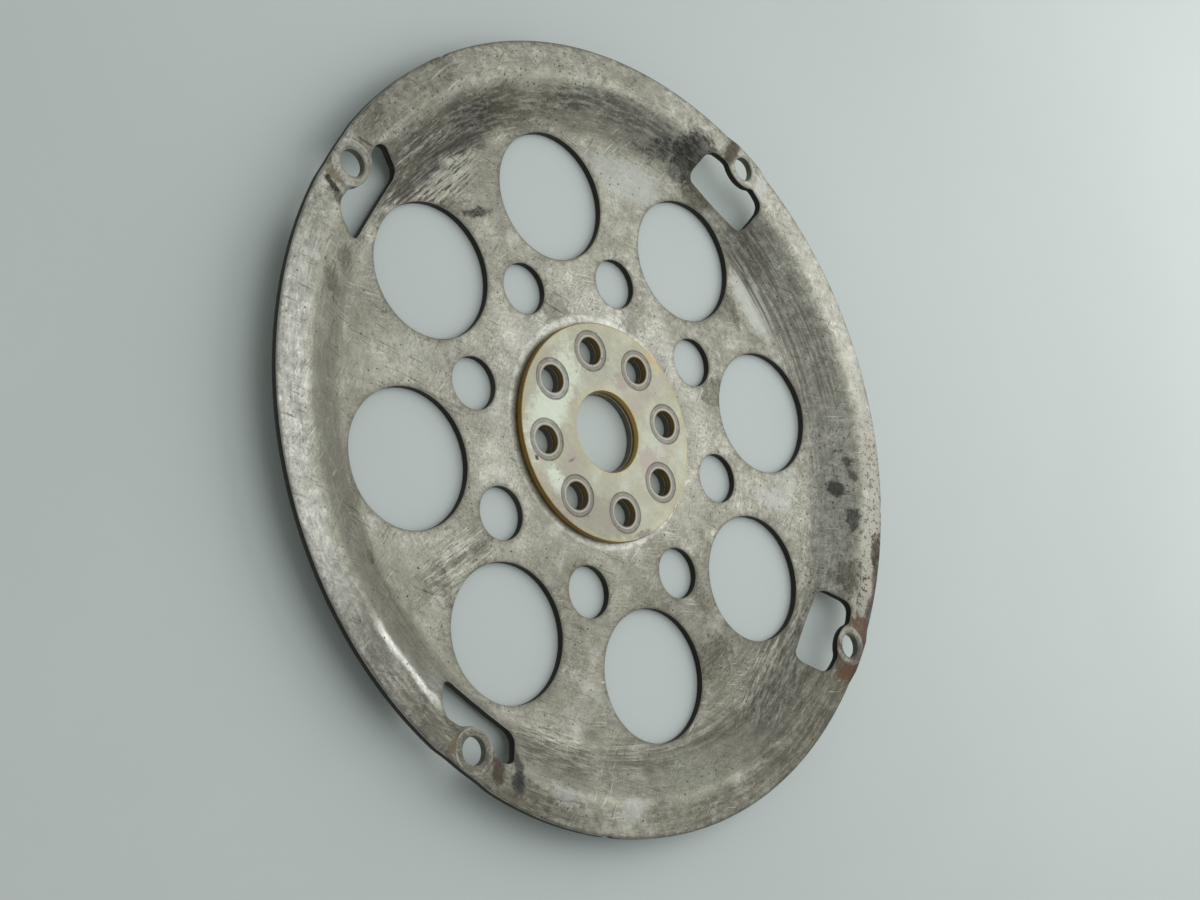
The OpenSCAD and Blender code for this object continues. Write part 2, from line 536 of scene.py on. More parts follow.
class Tone(Enum):
    """Named finishes of the steel and of what lies on it, some of which also serve as painted shade
    and painted highlights.
    """

    STEEL = Finish((168, 167, 153), 0.46, 0.9)
    STEEL_DULL = Finish((148, 146, 133), 0.52, 0.85)
    # bright steel, also used as a painted highlight on the flange
    STEEL_BRIGHT_AND_HIGHLIGHT = Finish((204, 204, 196), 0.38, 0.92)
    # polished steel, also used as a painted highlight along a bend
    POLISHED_AND_HIGHLIGHT = Finish((232, 232, 226), 0.3, 0.95)
    # painted shade: the darker look of the dished slope
    SLOPE_SHADE = Finish((148, 147, 134), 0.48, 0.86)
    SMOOTH = Finish((178, 182, 174), 0.42, 0.88)
    SLATE = Finish((150, 149, 142), 0.47, 0.86)
    # painted shade: near black for the sheared walls of holes and rim
    WALL_SHADE = Finish((38, 33, 27), 0.6, 0.4)
    GREASE = Finish((82, 77, 61), 0.56, 0.5)
    # soot, also used as painted shade on a pad's ramp
    SOOT_AND_SHADE = Finish((36, 33, 27), 0.62, 0.25)
    TAR = Finish((24, 22, 20), 0.4, 0.0)
    # oil stain, also used as painted shade on a pad's ramp
    OIL_AND_SHADE = Finish((112, 98, 74), 0.42, 0.5)
    # chalky deposit, also used as a painted highlight on a pad's ramp
    CHALK_AND_HIGHLIGHT = Finish((228, 227, 220), 0.7, 0.2)
    RUST = Finish((118, 84, 56), 0.85, 0.05)
    # umber stain, also used as painted shade on a pad's ramp
    UMBER_AND_SHADE = Finish((82, 68, 54), 0.7, 0.1)
    RUST_DARK = Finish((74, 48, 36), 0.85, 0.05)
    FLAKE = Finish((194, 192, 178), 0.62, 0.25)
    ZINC = Finish((158, 157, 140), 0.4, 0.88)
    # pale zinc tint, also used as a painted highlight on the washer
    ZINC_PALE_AND_HIGHLIGHT = Finish((190, 197, 182), 0.36, 0.88)
    ZINC_YELLOW = Finish((170, 161, 118), 0.4, 0.88)
    ZINC_BLUSH = Finish((156, 143, 138), 0.42, 0.86)
    ZINC_WORN = Finish((120, 115, 111), 0.46, 0.86)
    ZINC_GOLD = Finish((188, 152, 82), 0.4, 0.85)
    # painted shade: dark brown for the foot of walls and inside bolt holes
    ZINC_BROWN_SHADE = Finish((84, 62, 32), 0.5, 0.7)


@dataclass(frozen=True)
class Blotch:
    """A ragged-edged patch: mostly a stain, in places painted shade and painted highlight.

    Attributes:
        place: Its middle on the sheet.
        along: Half its length.
        across: Half its width.
        degrees: Turn of its length from +X.
        tone: Its look.
        strength: How much of the ground it covers.
        ragged: How far its edge wanders, as a share of its size.
        broken: How much of it the grit of the ground breaks up.
    """

    place: Place
    along: float
    across: float
    degrees: float
    tone: Tone
    strength: float = 0.8
    ragged: float = 0.5
    broken: float = 0.5


@dataclass(frozen=True)
class Belt:
    """A band that follows the plate round, between two radii: mostly a stain, in places painted
    shade and painted highlight.

    Attributes:
        degrees: Turn of its middle from +X.
        span: Half its length in degrees.
        inner: Radius of its inner side.
        outer: Radius of its outer side.
        tone: Its look.
        strength: How much of the ground it covers.
        soft: Width over which its sides fade.
        streaky: How much brush marks break it up.
        sweeping: True for long brush marks.
    """

    degrees: float
    span: float
    inner: float
    outer: float
    tone: Tone
    strength: float = 0.6
    soft: float = 5.0
    streaky: float = 0.6
    sweeping: bool = False


class NodePen:
    """Adds nodes to one node tree and joins them."""

    def __init__(self, tree: bpy.types.NodeTree) -> None:
        """Keeps the tree that is written."""
        self.tree = tree

    def _feed(self, made: bpy.types.Node, feeds: dict[Any, Feed]) -> bpy.types.Node:
        """Links or sets the inputs of a node.

        Args:
            made: The node.
            feeds: A value or a socket for each input, by name or number.

        Returns:
            The same node.
        """
        for name, value in feeds.items():
            if isinstance(value, bpy.types.NodeSocket):
                self.tree.links.new(value, made.inputs[name])
            else:
                made.inputs[name].default_value = value
        return made

    def node(self, kind: str, feeds: dict[Any, Feed], **settings: Any) -> bpy.types.Node:
        """Adds a node.

        Args:
            kind: Its type, without the leading ShaderNode.
            feeds: A value or a socket for each input, by name or number.
            **settings: Its own properties.

        Returns:
            The node.
        """
        made = self.tree.nodes.new("ShaderNode" + kind)
        for name, value in settings.items():
            setattr(made, name, value)
        return self._feed(made, feeds)

    def math(self, operation: str, first: Feed, second: Feed = 0.0) -> bpy.types.NodeSocket:
        """One step of arithmetic on two values."""
        return self.node("Math", {0: first, 1: second}, operation=operation).outputs[0]

    def vector(self, operation: str, first: Feed, second: Feed = (0.0, 0.0, 0.0)) -> bpy.types.Node:
        """One step of arithmetic on two vectors."""
        return self.node("VectorMath", {0: first, 1: second}, operation=operation)

    def part(self, vector: Feed, order: int) -> bpy.types.NodeSocket:
        """One part of a vector: its dot product with that axis."""
        axis = tuple(float(order == k) for k in range(3))
        return self.vector("DOT_PRODUCT", vector, axis).outputs["Value"]

    def times(self, *values: Feed) -> bpy.types.NodeSocket:
        """Product of any number of values.

        Args:
            *values: The values.

        Returns:
            Their product.
        """
        product = values[0]
        for value in values[1:]:
            product = self.math("MULTIPLY", product, value)
        return product

    def fade(self, value: Feed, low: Feed, high: Feed, start: Feed = 0.0, stop: Feed = 1.0
             ) -> bpy.types.NodeSocket:
        """Smooth step from start at low to stop at high."""
        feeds = {"Value": value, "From Min": low, "From Max": high, "To Min": start, "To Max": stop}
        return self.node("MapRange", feeds, interpolation_type="SMOOTHSTEP").outputs["Result"]

    def noise(self, vector: Feed, scale: Feed, detail: float = 3.0, roughness: float = 0.55,
              distortion: float = 0.0) -> bpy.types.NodeSocket:
        """Fractal noise about 0.5.

        Args:
            vector: Where it is read.
            scale: Its cells per unit.
            detail: Its number of octaves.
            roughness: How strong each next octave is.
            distortion: How far it is pulled about.

        Returns:
            The noise.
        """
        feeds = {"Vector": vector, "Scale": scale, "Detail": detail, "Roughness": roughness,
                 "Distortion": distortion}
        return self.node("TexNoise", feeds).outputs["Fac"]

    def blend(self, amount: Feed, below: Feed, above: Feed) -> bpy.types.NodeSocket:
        """Colour that goes from below to above with the amount."""
        made = self.node("Mix", {0: amount, 6: below, 7: above}, data_type="RGBA")
        return made.outputs[2]

    def level(self, amount: Feed, below: Feed, above: Feed) -> bpy.types.NodeSocket:
        """Value that goes from below to above with the amount."""
        return self.node("Mix", {0: amount, 2: below, 3: above}, data_type="FLOAT").outputs[0]

    def between(self, amount: Feed, below: Feed, above: Feed) -> bpy.types.NodeSocket:
        """Vector that goes from below to above with the amount."""
        return self.node("Mix", {0: amount, 4: below, 5: above}, data_type="VECTOR").outputs[1]

    def use(self, group: bpy.types.NodeTree, **feeds: Feed) -> bpy.types.NodeSocket:
        """Places a group.

        Args:
            group: The group.
            **feeds: A value or a socket for each of its named inputs.

        Returns:
            Its first output.
        """
        named = {name.replace("_", " ").capitalize(): value for name, value in feeds.items()}
        made = self.tree.nodes.new("ShaderNodeGroup")
        made.node_tree = group
        return self._feed(made, named).outputs[0]


class Effects:
    """The shader node groups that both materials share, each built once."""

    def __init__(self) -> None:
        """Builds every group."""
        self.ring_grain = self._ring_grain()
        self.line_grain = self._line_grain()
        self.blotch = self._blotch()
        self.belt = self._belt()
        self.ring = self._ring()
        self.flecks = self._flecks()
        self.scratches = self._scratches()
        self.cloud = self._cloud()
        self.edge_wear = self._edge_wear()

    def _open(self, name: str, **inputs: Union[float, Place, tuple[float, float, float]]
              ) -> tuple[bpy.types.NodeTree, NodePen, dict[str, bpy.types.NodeSocket]]:
        """Starts a group with a Mask output and the named inputs.

        Args:
            name: The group's name.
            **inputs: Each input's default: a number, or three for a vector.

        Returns:
            The tree, a pen on it, and its input sockets by the names given here.
        """
        tree = bpy.data.node_groups.new(name, "ShaderNodeTree")
        for label, value in inputs.items():
            kind = "NodeSocketVector" if isinstance(value, tuple) else "NodeSocketFloat"
            made = tree.interface.new_socket(label.replace("_", " ").capitalize(),
                                             in_out="INPUT", socket_type=kind)
            made.default_value = value
        tree.interface.new_socket("Mask", in_out="OUTPUT", socket_type="NodeSocketFloat")
        start = tree.nodes.new("NodeGroupInput")
        sockets = {label: start.outputs[order] for order, label in enumerate(inputs)}
        return tree, NodePen(tree), sockets

    @staticmethod
    def _close(tree: bpy.types.NodeTree, result: bpy.types.NodeSocket) -> bpy.types.NodeTree:
        """Joins the result to the group's output and returns the tree.

        Args:
            tree: The group.
            result: What it puts out.

        Returns:
            The group.
        """
        stop = tree.nodes.new("NodeGroupOutput")
        tree.links.new(result, stop.inputs[0])
        return tree

    def _ring_grain(self) -> bpy.types.NodeTree:
        """Marks that run round the axis.

        Noise over the unit direction times the run, and the radius over the pitch.

        Returns:
            The group.
        """
        tree, pen, at = self._open("ring grain", place=(0.0, 0.0, 0.0), run=4.0, pitch=0.6)
        flat = pen.vector("MULTIPLY", at["place"], (1.0, 1.0, 0.0)).outputs[0]
        radius = pen.vector("LENGTH", flat).outputs["Value"]
        unit = pen.vector("NORMALIZE", flat).outputs[0]
        around = pen.node("VectorMath", {0: unit, "Scale": at["run"]}, operation="SCALE").outputs[0]
        lift = pen.node("CombineXYZ", {2: pen.math("DIVIDE", radius, at["pitch"])}).outputs[0]
        where = pen.vector("ADD", around, lift).outputs[0]
        return self._close(tree, pen.noise(where, 1.0, 3.0, 0.6))

    def _line_grain(self) -> bpy.types.NodeTree:
        """Straight marks.

        Noise over the place, turned, then scaled by 1 over the run and 1 over the pitch.

        Returns:
            The group.
        """
        tree, pen, at = self._open("line grain", place=(0.0, 0.0, 0.0), turn=0.0,
                                   scale=(0.05, 2.0, 0.0))
        turned = pen.node("VectorRotate", {"Vector": at["place"], "Angle": at["turn"]},
                          rotation_type="Z_AXIS")
        squeezed = pen.vector("MULTIPLY", turned.outputs[0], at["scale"]).outputs[0]
        lift = pen.node("CombineXYZ", {2: at["turn"]}).outputs[0]
        where = pen.vector("ADD", squeezed, lift).outputs[0]
        return self._close(tree, pen.noise(where, 1.0, 2.5, 0.55))

    def _blotch(self) -> bpy.types.NodeTree:
        """Ragged ellipse.

        Its distance is pushed in and out by a wander, then faded, and grit breaks it up.

        Returns:
            The group.
        """
        tree, pen, at = self._open("blotch", place=(0.0, 0.0, 0.0), centre=(0.0, 0.0, 0.0),
                                   scale=(0.2, 0.2, 0.0), turn=0.0, ragged=1.5, wander=0.5,
                                   broken=0.5, grit=1.0, strength=1.0)
        away = pen.vector("SUBTRACT", at["place"], at["centre"]).outputs[0]
        back = pen.math("MULTIPLY", at["turn"], -1.0)
        turned = pen.node("VectorRotate", {"Vector": away, "Angle": back},
                          rotation_type="Z_AXIS").outputs[0]
        squeezed = pen.vector("MULTIPLY", turned, at["scale"]).outputs[0]
        size = pen.vector("LENGTH", squeezed).outputs["Value"]
        push = pen.times(pen.math("SUBTRACT", at["wander"], 0.5), at["ragged"])
        spread = pen.fade(pen.math("ADD", size, push), 0.6, 1.15, at["strength"], 0.0)
        return self._close(tree, pen.times(spread, pen.level(at["broken"], 1.0, at["grit"])))

    def _belt(self) -> bpy.types.NodeTree:
        """Stretch of a ring.

        It fades with the turn away from its middle, and with the radius at its two sides.

        Returns:
            The group.
        """
        tree, pen, at = self._open("belt", place=(0.0, 0.0, 0.0), middle=(1.0, 0.0, 0.0), span=20.0,
                                   inner=100.0, outer=120.0, soft=5.0, sway=0.5, streaky=0.6,
                                   streak=1.0, strength=1.0)
        flat = pen.vector("MULTIPLY", at["place"], (1.0, 1.0, 0.0)).outputs[0]
        radius = pen.vector("LENGTH", flat).outputs["Value"]
        unit = pen.vector("NORMALIZE", flat).outputs[0]
        cosine = pen.vector("DOT_PRODUCT", unit, at["middle"]).outputs["Value"]
        turned = pen.times(pen.math("ARCCOSINE", cosine), 180 / np.pi)
        push = pen.times(pen.math("SUBTRACT", at["sway"], 0.5), at["soft"], 4.0)
        away = pen.math("ADD", radius, push)
        ends = pen.fade(turned, pen.times(at["span"], 0.5), at["span"], at["strength"], 0.0)
        inside = pen.fade(away, pen.math("SUBTRACT", at["inner"], at["soft"]),
                          pen.math("ADD", at["inner"], at["soft"]))
        outside = pen.fade(away, pen.math("SUBTRACT", at["outer"], at["soft"]),
                           pen.math("ADD", at["outer"], at["soft"]), 1.0, 0.0)
        brushed = pen.level(at["streaky"], 1.0, at["streak"])
        return self._close(tree, pen.times(ends, inside, outside, brushed))

    def _ring(self) -> bpy.types.NodeTree:
        """Circular line.

        How far the distance to its centre is from its radius, faded over its width.

        Returns:
            The group.
        """
        tree, pen, at = self._open("ring", place=(0.0, 0.0, 0.0), centre=(0.0, 0.0, 0.0),
                                   radius=8.0, width=0.6, ragged=0.5)
        away = pen.vector("SUBTRACT", at["place"], at["centre"]).outputs[0]
        flat = pen.vector("MULTIPLY", away, (1.0, 1.0, 0.0)).outputs[0]
        own = pen.vector("LENGTH", flat).outputs["Value"]
        gap = pen.math("ABSOLUTE", pen.math("SUBTRACT", own, at["radius"]))
        off = pen.math("DIVIDE", gap, at["width"])
        wander = pen.noise(at["place"], 0.35, 3.0, 0.6)
        broken = pen.level(at["ragged"], 1.0, pen.fade(wander, 0.36, 0.6))
        return self._close(tree, pen.times(pen.fade(off, 0.35, 1.0, 1.0, 0.0), broken))

    def _scratches(self) -> bpy.types.NodeTree:
        """Sparse thin lines: the crests of straight marks, kept where a slow noise is high.

        Returns:
            The group.
        """
        tree, pen, at = self._open("scratches", place=(0.0, 0.0, 0.0), turn=0.0,
                                   scale=(0.07, 2.0, 0.0), share=0.5)
        lines = pen.use(self.line_grain, place=at["place"], turn=at["turn"], scale=at["scale"])
        shift = pen.node("CombineXYZ", {0: pen.times(at["turn"], 90.0)}).outputs[0]
        moved = pen.vector("ADD", at["place"], shift)
        where = pen.noise(moved.outputs[0], 0.055, 3.0, 0.6)
        gate = pen.fade(where, pen.math("SUBTRACT", 0.78, pen.times(at["share"], 0.4)),
                        pen.math("SUBTRACT", 0.9, pen.times(at["share"], 0.4)))
        return self._close(tree, pen.times(pen.fade(lines, 0.6, 0.7), gate))

    def _flecks(self) -> bpy.types.NodeTree:
        """Small specks: in a share of the cells, a spot of a size that the cell's own colour picks.

        Returns:
            The group.
        """
        tree, pen, at = self._open("flecks", place=(0.0, 0.0, 0.0), cell=4.0, share=0.2, size=0.3)
        nudge = pen.node("TexNoise", {"Vector": at["place"], "Scale": 1.1,
                                      "Detail": 2.0}).outputs["Color"]
        moved = pen.vector("ADD", at["place"], nudge).outputs[0]
        per_mm = pen.math("DIVIDE", 1.0, at["cell"])
        cells = pen.node("TexVoronoi", {"Vector": moved, "Scale": per_mm}, voronoi_dimensions="2D")
        chosen = pen.math("LESS_THAN", pen.part(cells.outputs["Color"], 0), at["share"])
        own = pen.part(cells.outputs["Color"], 1)
        size = pen.times(at["size"], pen.fade(own, 0.0, 1.0, 0.35, 1.0))
        spot = pen.fade(cells.outputs["Distance"], pen.times(size, 0.6), size, 1.0, 0.0)
        return self._close(tree, pen.times(spot, chosen))

    def _cloud(self) -> bpy.types.NodeTree:
        """Soft uneven patches: fractal noise faded between two levels.

        Returns:
            The group.
        """
        tree, pen, at = self._open("cloud", place=(0.0, 0.0, 0.0), size=20.0, low=0.4, high=0.6)
        soft = pen.noise(at["place"], pen.math("DIVIDE", 1.0, at["size"]), 6.0, 0.62, 0.3)
        return self._close(tree, pen.fade(soft, at["low"], at["high"]))

    def _edge_wear(self) -> bpy.types.NodeTree:
        """Wear near a sheared edge: the distance to it, stretched by noise, faded over the reach.

        Returns:
            The group.
        """
        tree, pen, at = self._open("edge wear", place=(0.0, 0.0, 0.0), distance=10.0, reach=2.0,
                                   ragged=0.5)
        wander = pen.noise(at["place"], 0.5, 4.0, 0.65)
        stretch = pen.level(at["ragged"], 1.0, pen.fade(wander, 0.35, 0.65, 3.0, 0.35))
        away = pen.times(at["distance"], stretch)
        return self._close(tree, pen.fade(away, 0.0, at["reach"], 1.0, 0.0))


class Coats:
    """Colour, roughness and metal of one material, laid over each other from the ground up."""

    def __init__(self, name: str, effects: Effects, ground: Tone) -> None:
        """Opens a material whose ground is the given tone.

        Args:
            name: The material's name.
            effects: The shared node groups.
            ground: The look under every other coat.
        """
        self.material = bpy.data.materials.new(name)
        self.material.use_nodes = True
        self.effects = effects
        self.pen = NodePen(self.material.node_tree)
        self.material.node_tree.nodes.clear()
        here = self.pen.node("TexCoord", {}).outputs["Object"]
        self.place = self.pen.vector("MULTIPLY", here, (TO_MM, TO_MM, TO_MM)).outputs[0]
        self.edge = self.pen.node("Attribute", {}, attribute_name="edge_mm").outputs["Fac"]
        self.wall = self.pen.node("Attribute", {}, attribute_name="wall").outputs["Fac"]
        self.back = self.pen.node("Attribute", {}, attribute_name="back").outputs["Fac"]
        self.face = self.pen.math("SUBTRACT", 1.0, self.back)
        self.colour: Feed = ground.value.light
        self.surface: Feed = ground.value.surface
        self.kept: tuple[Feed, Feed] = (self.colour, self.surface)
        self.height: Feed = 0.0
        self.wander = self.pen.noise(self.place, 0.42, 4.0, 0.68)
        self.sway = self.pen.noise(self.place, 0.09, 3.0, 0.6)
        short = self.pen.use(effects.ring_grain, place=self.place, run=38.0, pitch=0.9)
        long = self.pen.use(effects.ring_grain, place=self.place, run=9.0, pitch=1.5)
        sweep = self.pen.use(effects.ring_grain, place=self.place, run=4.0, pitch=1.2)
        self.sweep = self.pen.fade(sweep, 0.45, 0.58)
        self.short = short
        self.grit = self.pen.fade(short, 0.45, 0.57)
        both = self.pen.math("ADD", self.pen.times(short, 0.5), self.pen.times(long, 0.5))
        self.streak = self.pen.fade(both, 0.42, 0.57)

    def mask(self, group: bpy.types.NodeTree, **feeds: Feed) -> bpy.types.NodeSocket:
        """Lays a group over the piece's own places.

        Args:
            group: The group.
            **feeds: Its named inputs. A pair of numbers gets a third, 0.

        Returns:
            The group's output.
        """
        full = {name: (*value, 0.0) if isinstance(value, tuple) and len(value) == 2 else value
                for name, value in feeds.items()}
        return self.pen.use(group, **{"place": self.place, **full})

    def spread(self, mark: Blotch, **feeds: Feed) -> bpy.types.NodeSocket:
        """Where a blotch lies.

        Args:
            mark: The blotch.
            **feeds: More inputs of the blotch group.

        Returns:
            Its mask.
        """
        return self.mask(self.effects.blotch, centre=mark.place, wander=self.wander,
                         scale=(1 / mark.along, 1 / mark.across), ragged=3 * mark.ragged,
                         turn=float(np.radians(mark.degrees)), **feeds)

    def lay(self, mask: Feed, tone: Tone, strength: float = 1.0) -> None:
        """Covers what lies below by a tone where the mask is set.

        Args:
            mask: Where it is laid.
            tone: Its look.
            strength: How much of what lies below it covers.
        """
        amount = mask if strength == 1.0 else self.pen.math("MULTIPLY", mask, strength)
        self.colour = self.pen.blend(amount, self.colour, tone.value.light)
        self.surface = self.pen.between(amount, self.surface, tone.value.surface)

    def keep(self) -> None:
        """Remembers the look so far, which is also that of the back."""
        self.kept = (self.colour, self.surface)

    def turn_over(self) -> None:
        """Shows the remembered look on the back."""
        colour, surface = self.kept
        self.colour = self.pen.blend(self.back, self.colour, colour)
        self.surface = self.pen.between(self.back, self.surface, surface)

    def shade(self, value: Feed, low: float, high: float) -> None:
        """Multiplies the colour by a factor that follows a value.

        Args:
            value: The value.
            low: Factor where it is 0.3 or less.
            high: Factor where it is 0.7 or more.
        """
        factor = self.pen.node("MapRange", {"Value": value, "From Min": 0.3, "From Max": 0.7,
                                            "To Min": low, "To Max": high}).outputs[0]
        self.colour = self.pen.node("VectorMath", {0: self.colour, "Scale": factor},
                                    operation="SCALE").outputs[0]

    def raise_by(self, value: Feed, amount: float) -> None:
        """Adds a share of a value to the height that the bump follows."""
        self.height = self.pen.math("ADD", self.height, self.pen.math("MULTIPLY", value, amount))

    def blotches(self, marks: Sequence[Blotch]) -> None:
        """Lays each blotch in order.

        Args:
            marks: The blotches, lowest first.
        """
        for mark in marks:
            spread = self.spread(mark, broken=mark.broken, grit=self.grit, strength=mark.strength)
            self.lay(spread, mark.tone)

    def belts(self, marks: Sequence[Belt]) -> None:
        """Lays each belt in order.

        Args:
            marks: The belts, lowest first.
        """
        for mark in marks:
            stretch = self.mask(self.effects.belt, middle=on_circle(1.0, mark.degrees),
                                span=mark.span, inner=mark.inner, outer=mark.outer, soft=mark.soft,
                                sway=self.sway, streaky=mark.streaky, strength=mark.strength,
                                streak=self.sweep if mark.sweeping else self.streak)
            self.lay(stretch, mark.tone)

    def close(self, bump: float, depth: float) -> bpy.types.Material:
        """Joins everything to a shader.

        Args:
            bump: Strength of the bump.
            depth: Height in millimetres that a height of 1 stands for.

        Returns:
            The finished material.
        """
        normal = self.pen.node("Bump", {"Strength": bump, "Distance": depth * MM,
                                        "Height": self.height})
        rough, metal = self.pen.part(self.surface, 0), self.pen.part(self.surface, 1)
        shader = self.pen.node("BsdfPrincipled", {"Base Color": self.colour, "Roughness": rough,
                                                  "Metallic": metal, "Normal": normal.outputs[0]})
        self.pen.node("OutputMaterial", {"Surface": shader.outputs[0]})
        return self.material


PADS = (45.0, 135.0, 225.0, 315.0)
PAD_RING = mount_dims("converter_bolts")["pcd_mm"] / 2
SCORED = (Blotch((-62, 104), 34, 17, 30, Tone.SOOT_AND_SHADE, 0.7, 0.4),
          Blotch((70, -102), 36, 14, 38, Tone.SOOT_AND_SHADE, 0.5, 0.5),
          Blotch((-84, -40), 20, 13, 22, Tone.GREASE, 0.4, 0.6),
          Blotch((-60, -112), 26, 9, -26, Tone.GREASE, 0.55, 0.6))


@dataclass
class DrivePlate:
    """The stamped plate: web, dish, raised pads, slots and every round hole.

    Attributes:
        rim_r: Radius of the rim.
        dish: Half section of the sheet.
        large_ring: Radius of the circle of large holes.
        large_r: Radius of each large hole.
        small_ring: Radius of the circle of small holes.
        small_r: Radius of each small hole.
        holes: Number of large holes, and of small ones.
        pad_rise: Height of a pad over the flange.
        pad_flat: Half width of a pad's top.
        pad_foot: Half width of a pad over its ramps.
        washer_seat: Radius inside which the web is truly flat.
        warp: Height of the sheet's slow waves.
        nicks: Turn in degrees and depth of each nick in the rim.
    """

    rim_r: float
    dish: Dish = Dish()
    large_ring: float = 95.0
    large_r: float = 25.8
    small_ring: float = 63.5
    small_r: float = 10.0
    holes: int = 8
    pad_rise: float = 1.2
    pad_flat: float = 7.5
    pad_foot: float = 13.5
    washer_seat: float = 47.0
    warp: float = 0.12
    nicks: tuple[Place, ...] = ((109, 0.8), (341, 0.5), (251, 0.6))

    def _pads(self, places: Array, low: Array, top: float) -> Array:
        """Height that the pads add.

        Up to their top, times a share that falls evenly over each ramp.

        Args:
            places: Places on the sheet.
            low: Height of the sheet there.
            top: Height of a pad's top.

        Returns:
            The added height at each place.
        """
        added = np.zeros(len(places))
        for turn in np.radians(PADS):
            u = places[:, 1] * np.cos(turn) - places[:, 0] * np.sin(turn)
            v = places[:, 0] * np.cos(turn) + places[:, 1] * np.sin(turn)
            share = np.clip((self.pad_foot - np.abs(u)) / (self.pad_foot - self.pad_flat), 0, 1)
            share = share * (v > self.dish.web_corner + self.dish.web_bend)
            added = added + share * np.maximum(top - low, 0)
        return added

    def _waves(self, places: Array) -> Array:
        """Slow unevenness: three cosines of the turn, up on the web and down on the flange.

        It is 0 under the washer and never lifts a pad over the solid's top.

        Args:
            places: Places on the sheet.

        Returns:
            The added height at each place.
        """
        radius, turn = np.hypot(*places.T), np.arctan2(places[:, 1], places[:, 0])
        wave = (np.cos(2 * turn + 0.6) + 0.6 * np.cos(3 * turn + 2.1)
                + 0.4 * np.cos(5 * turn + radius / 40))
        side = ease(radius, self.washer_seat, 100) - 2 * ease(radius, 112, 142)
        return self.warp * side * (wave + 2) / 4

    def front(self, places: Array) -> Array:
        """Height of the front: dish, pads and waves.

        Args:
            places: Places on the sheet.

        Returns:
            The heights.
        """
        low = self.dish.height(np.hypot(*places.T))
        top = self.dish.sheet + self.dish.rise + self.pad_rise
        return low + self._pads(places, low, top) + self._waves(places)

    def back(self, places: Array) -> Array:
        """Height of the back: the same form, one sheet's thickness below."""
        low = self.dish.height(np.hypot(*places.T), self.dish.sheet)
        return low + self._pads(places, low, self.dish.rise + self.pad_rise) + self._waves(places)

    def _rim(self) -> Outline:
        """The rim, whose radius dips by a bell curve of the turn at each of three nicks.

        Returns:
            The rim's edge.
        """
        edge = RoundEdge(self.rim_r, hole=False, roll=0.6, burr=0.4, pitch=1.1)
        turn = np.degrees(np.arctan2(edge.points[:, 1], edge.points[:, 0]))
        dip = np.zeros(len(turn))
        for degrees, depth in self.nicks:
            off = (turn - degrees + 180) % 360 - 180
            dip += depth * np.exp(-(off / 0.5) ** 2)
        edge.points = edge.points * (1 - dip / self.rim_r)[:, None]
        return edge

    def outlines(self) -> list[Outline]:
        """The sheared edges of the plate.

        Returns:
            The rim, the slots and every round hole.
        """
        crank, converter = mount_dims("crank_bolts"), mount_dims("converter_bolts")
        step = 360 / self.holes
        edges = [self._rim()]
        edges += [SlotShape(126.8, 141.7).edge(np.radians(turn)) for turn in PADS]
        edges += [RoundEdge(self.large_r, on_circle(self.large_ring, step * k))
                  for k in range(self.holes)]
        edges += [RoundEdge(self.small_r, on_circle(self.small_ring, step * (k + 0.5)), pitch=0.8)
                  for k in range(self.holes)]
        edges += [RoundEdge(crank["hole_r_mm"],
                            on_circle(crank["pcd_mm"] / 2, 360 / crank["count"] * k))
                  for k in range(crank["count"])]
        edges += [RoundEdge(converter["hole_r_mm"], on_circle(PAD_RING, turn)) for turn in PADS]
        return edges + [RoundEdge(mount_dims("pilot_bore")["r_mm"], pitch=1.2)]

    def _net(self) -> Array:
        """Places that carry the form: a wide net on the web, a close one over bends and pads.

        Returns:
            The places, one row each.
        """
        web = lattice(20.0, 113.0, 3.0, 0)
        bends = lattice(114.0, self.rim_r - 2, 1.1, 360, stagger=False)
        along, across = np.meshgrid(np.arange(-15, 15.5, 1.0), np.arange(138.5, 152.5, 1.0))
        for turn in np.radians(PADS):
            u = bends[:, 1] * np.cos(turn) - bends[:, 0] * np.sin(turn)
            v = bends[:, 0] * np.cos(turn) + bends[:, 1] * np.sin(turn)
            bends = bends[(np.abs(u) > 15.6) | (v < 138)]
        u, v = along.ravel(), across.ravel()
        pads = [np.stack([v * np.cos(a) - u * np.sin(a), v * np.sin(a) + u * np.cos(a)], axis=1)
                for a in np.radians(PADS)]
        net = np.concatenate([web, bends] + pads)
        return net[np.hypot(*net.T) < self.rim_r - 1.2]

    def build(self) -> bpy.types.Object:
        """Makes the plate's mesh."""
        return Sheet(self.front, self.back, self.outlines(), self._net()).build("plate_sheet")

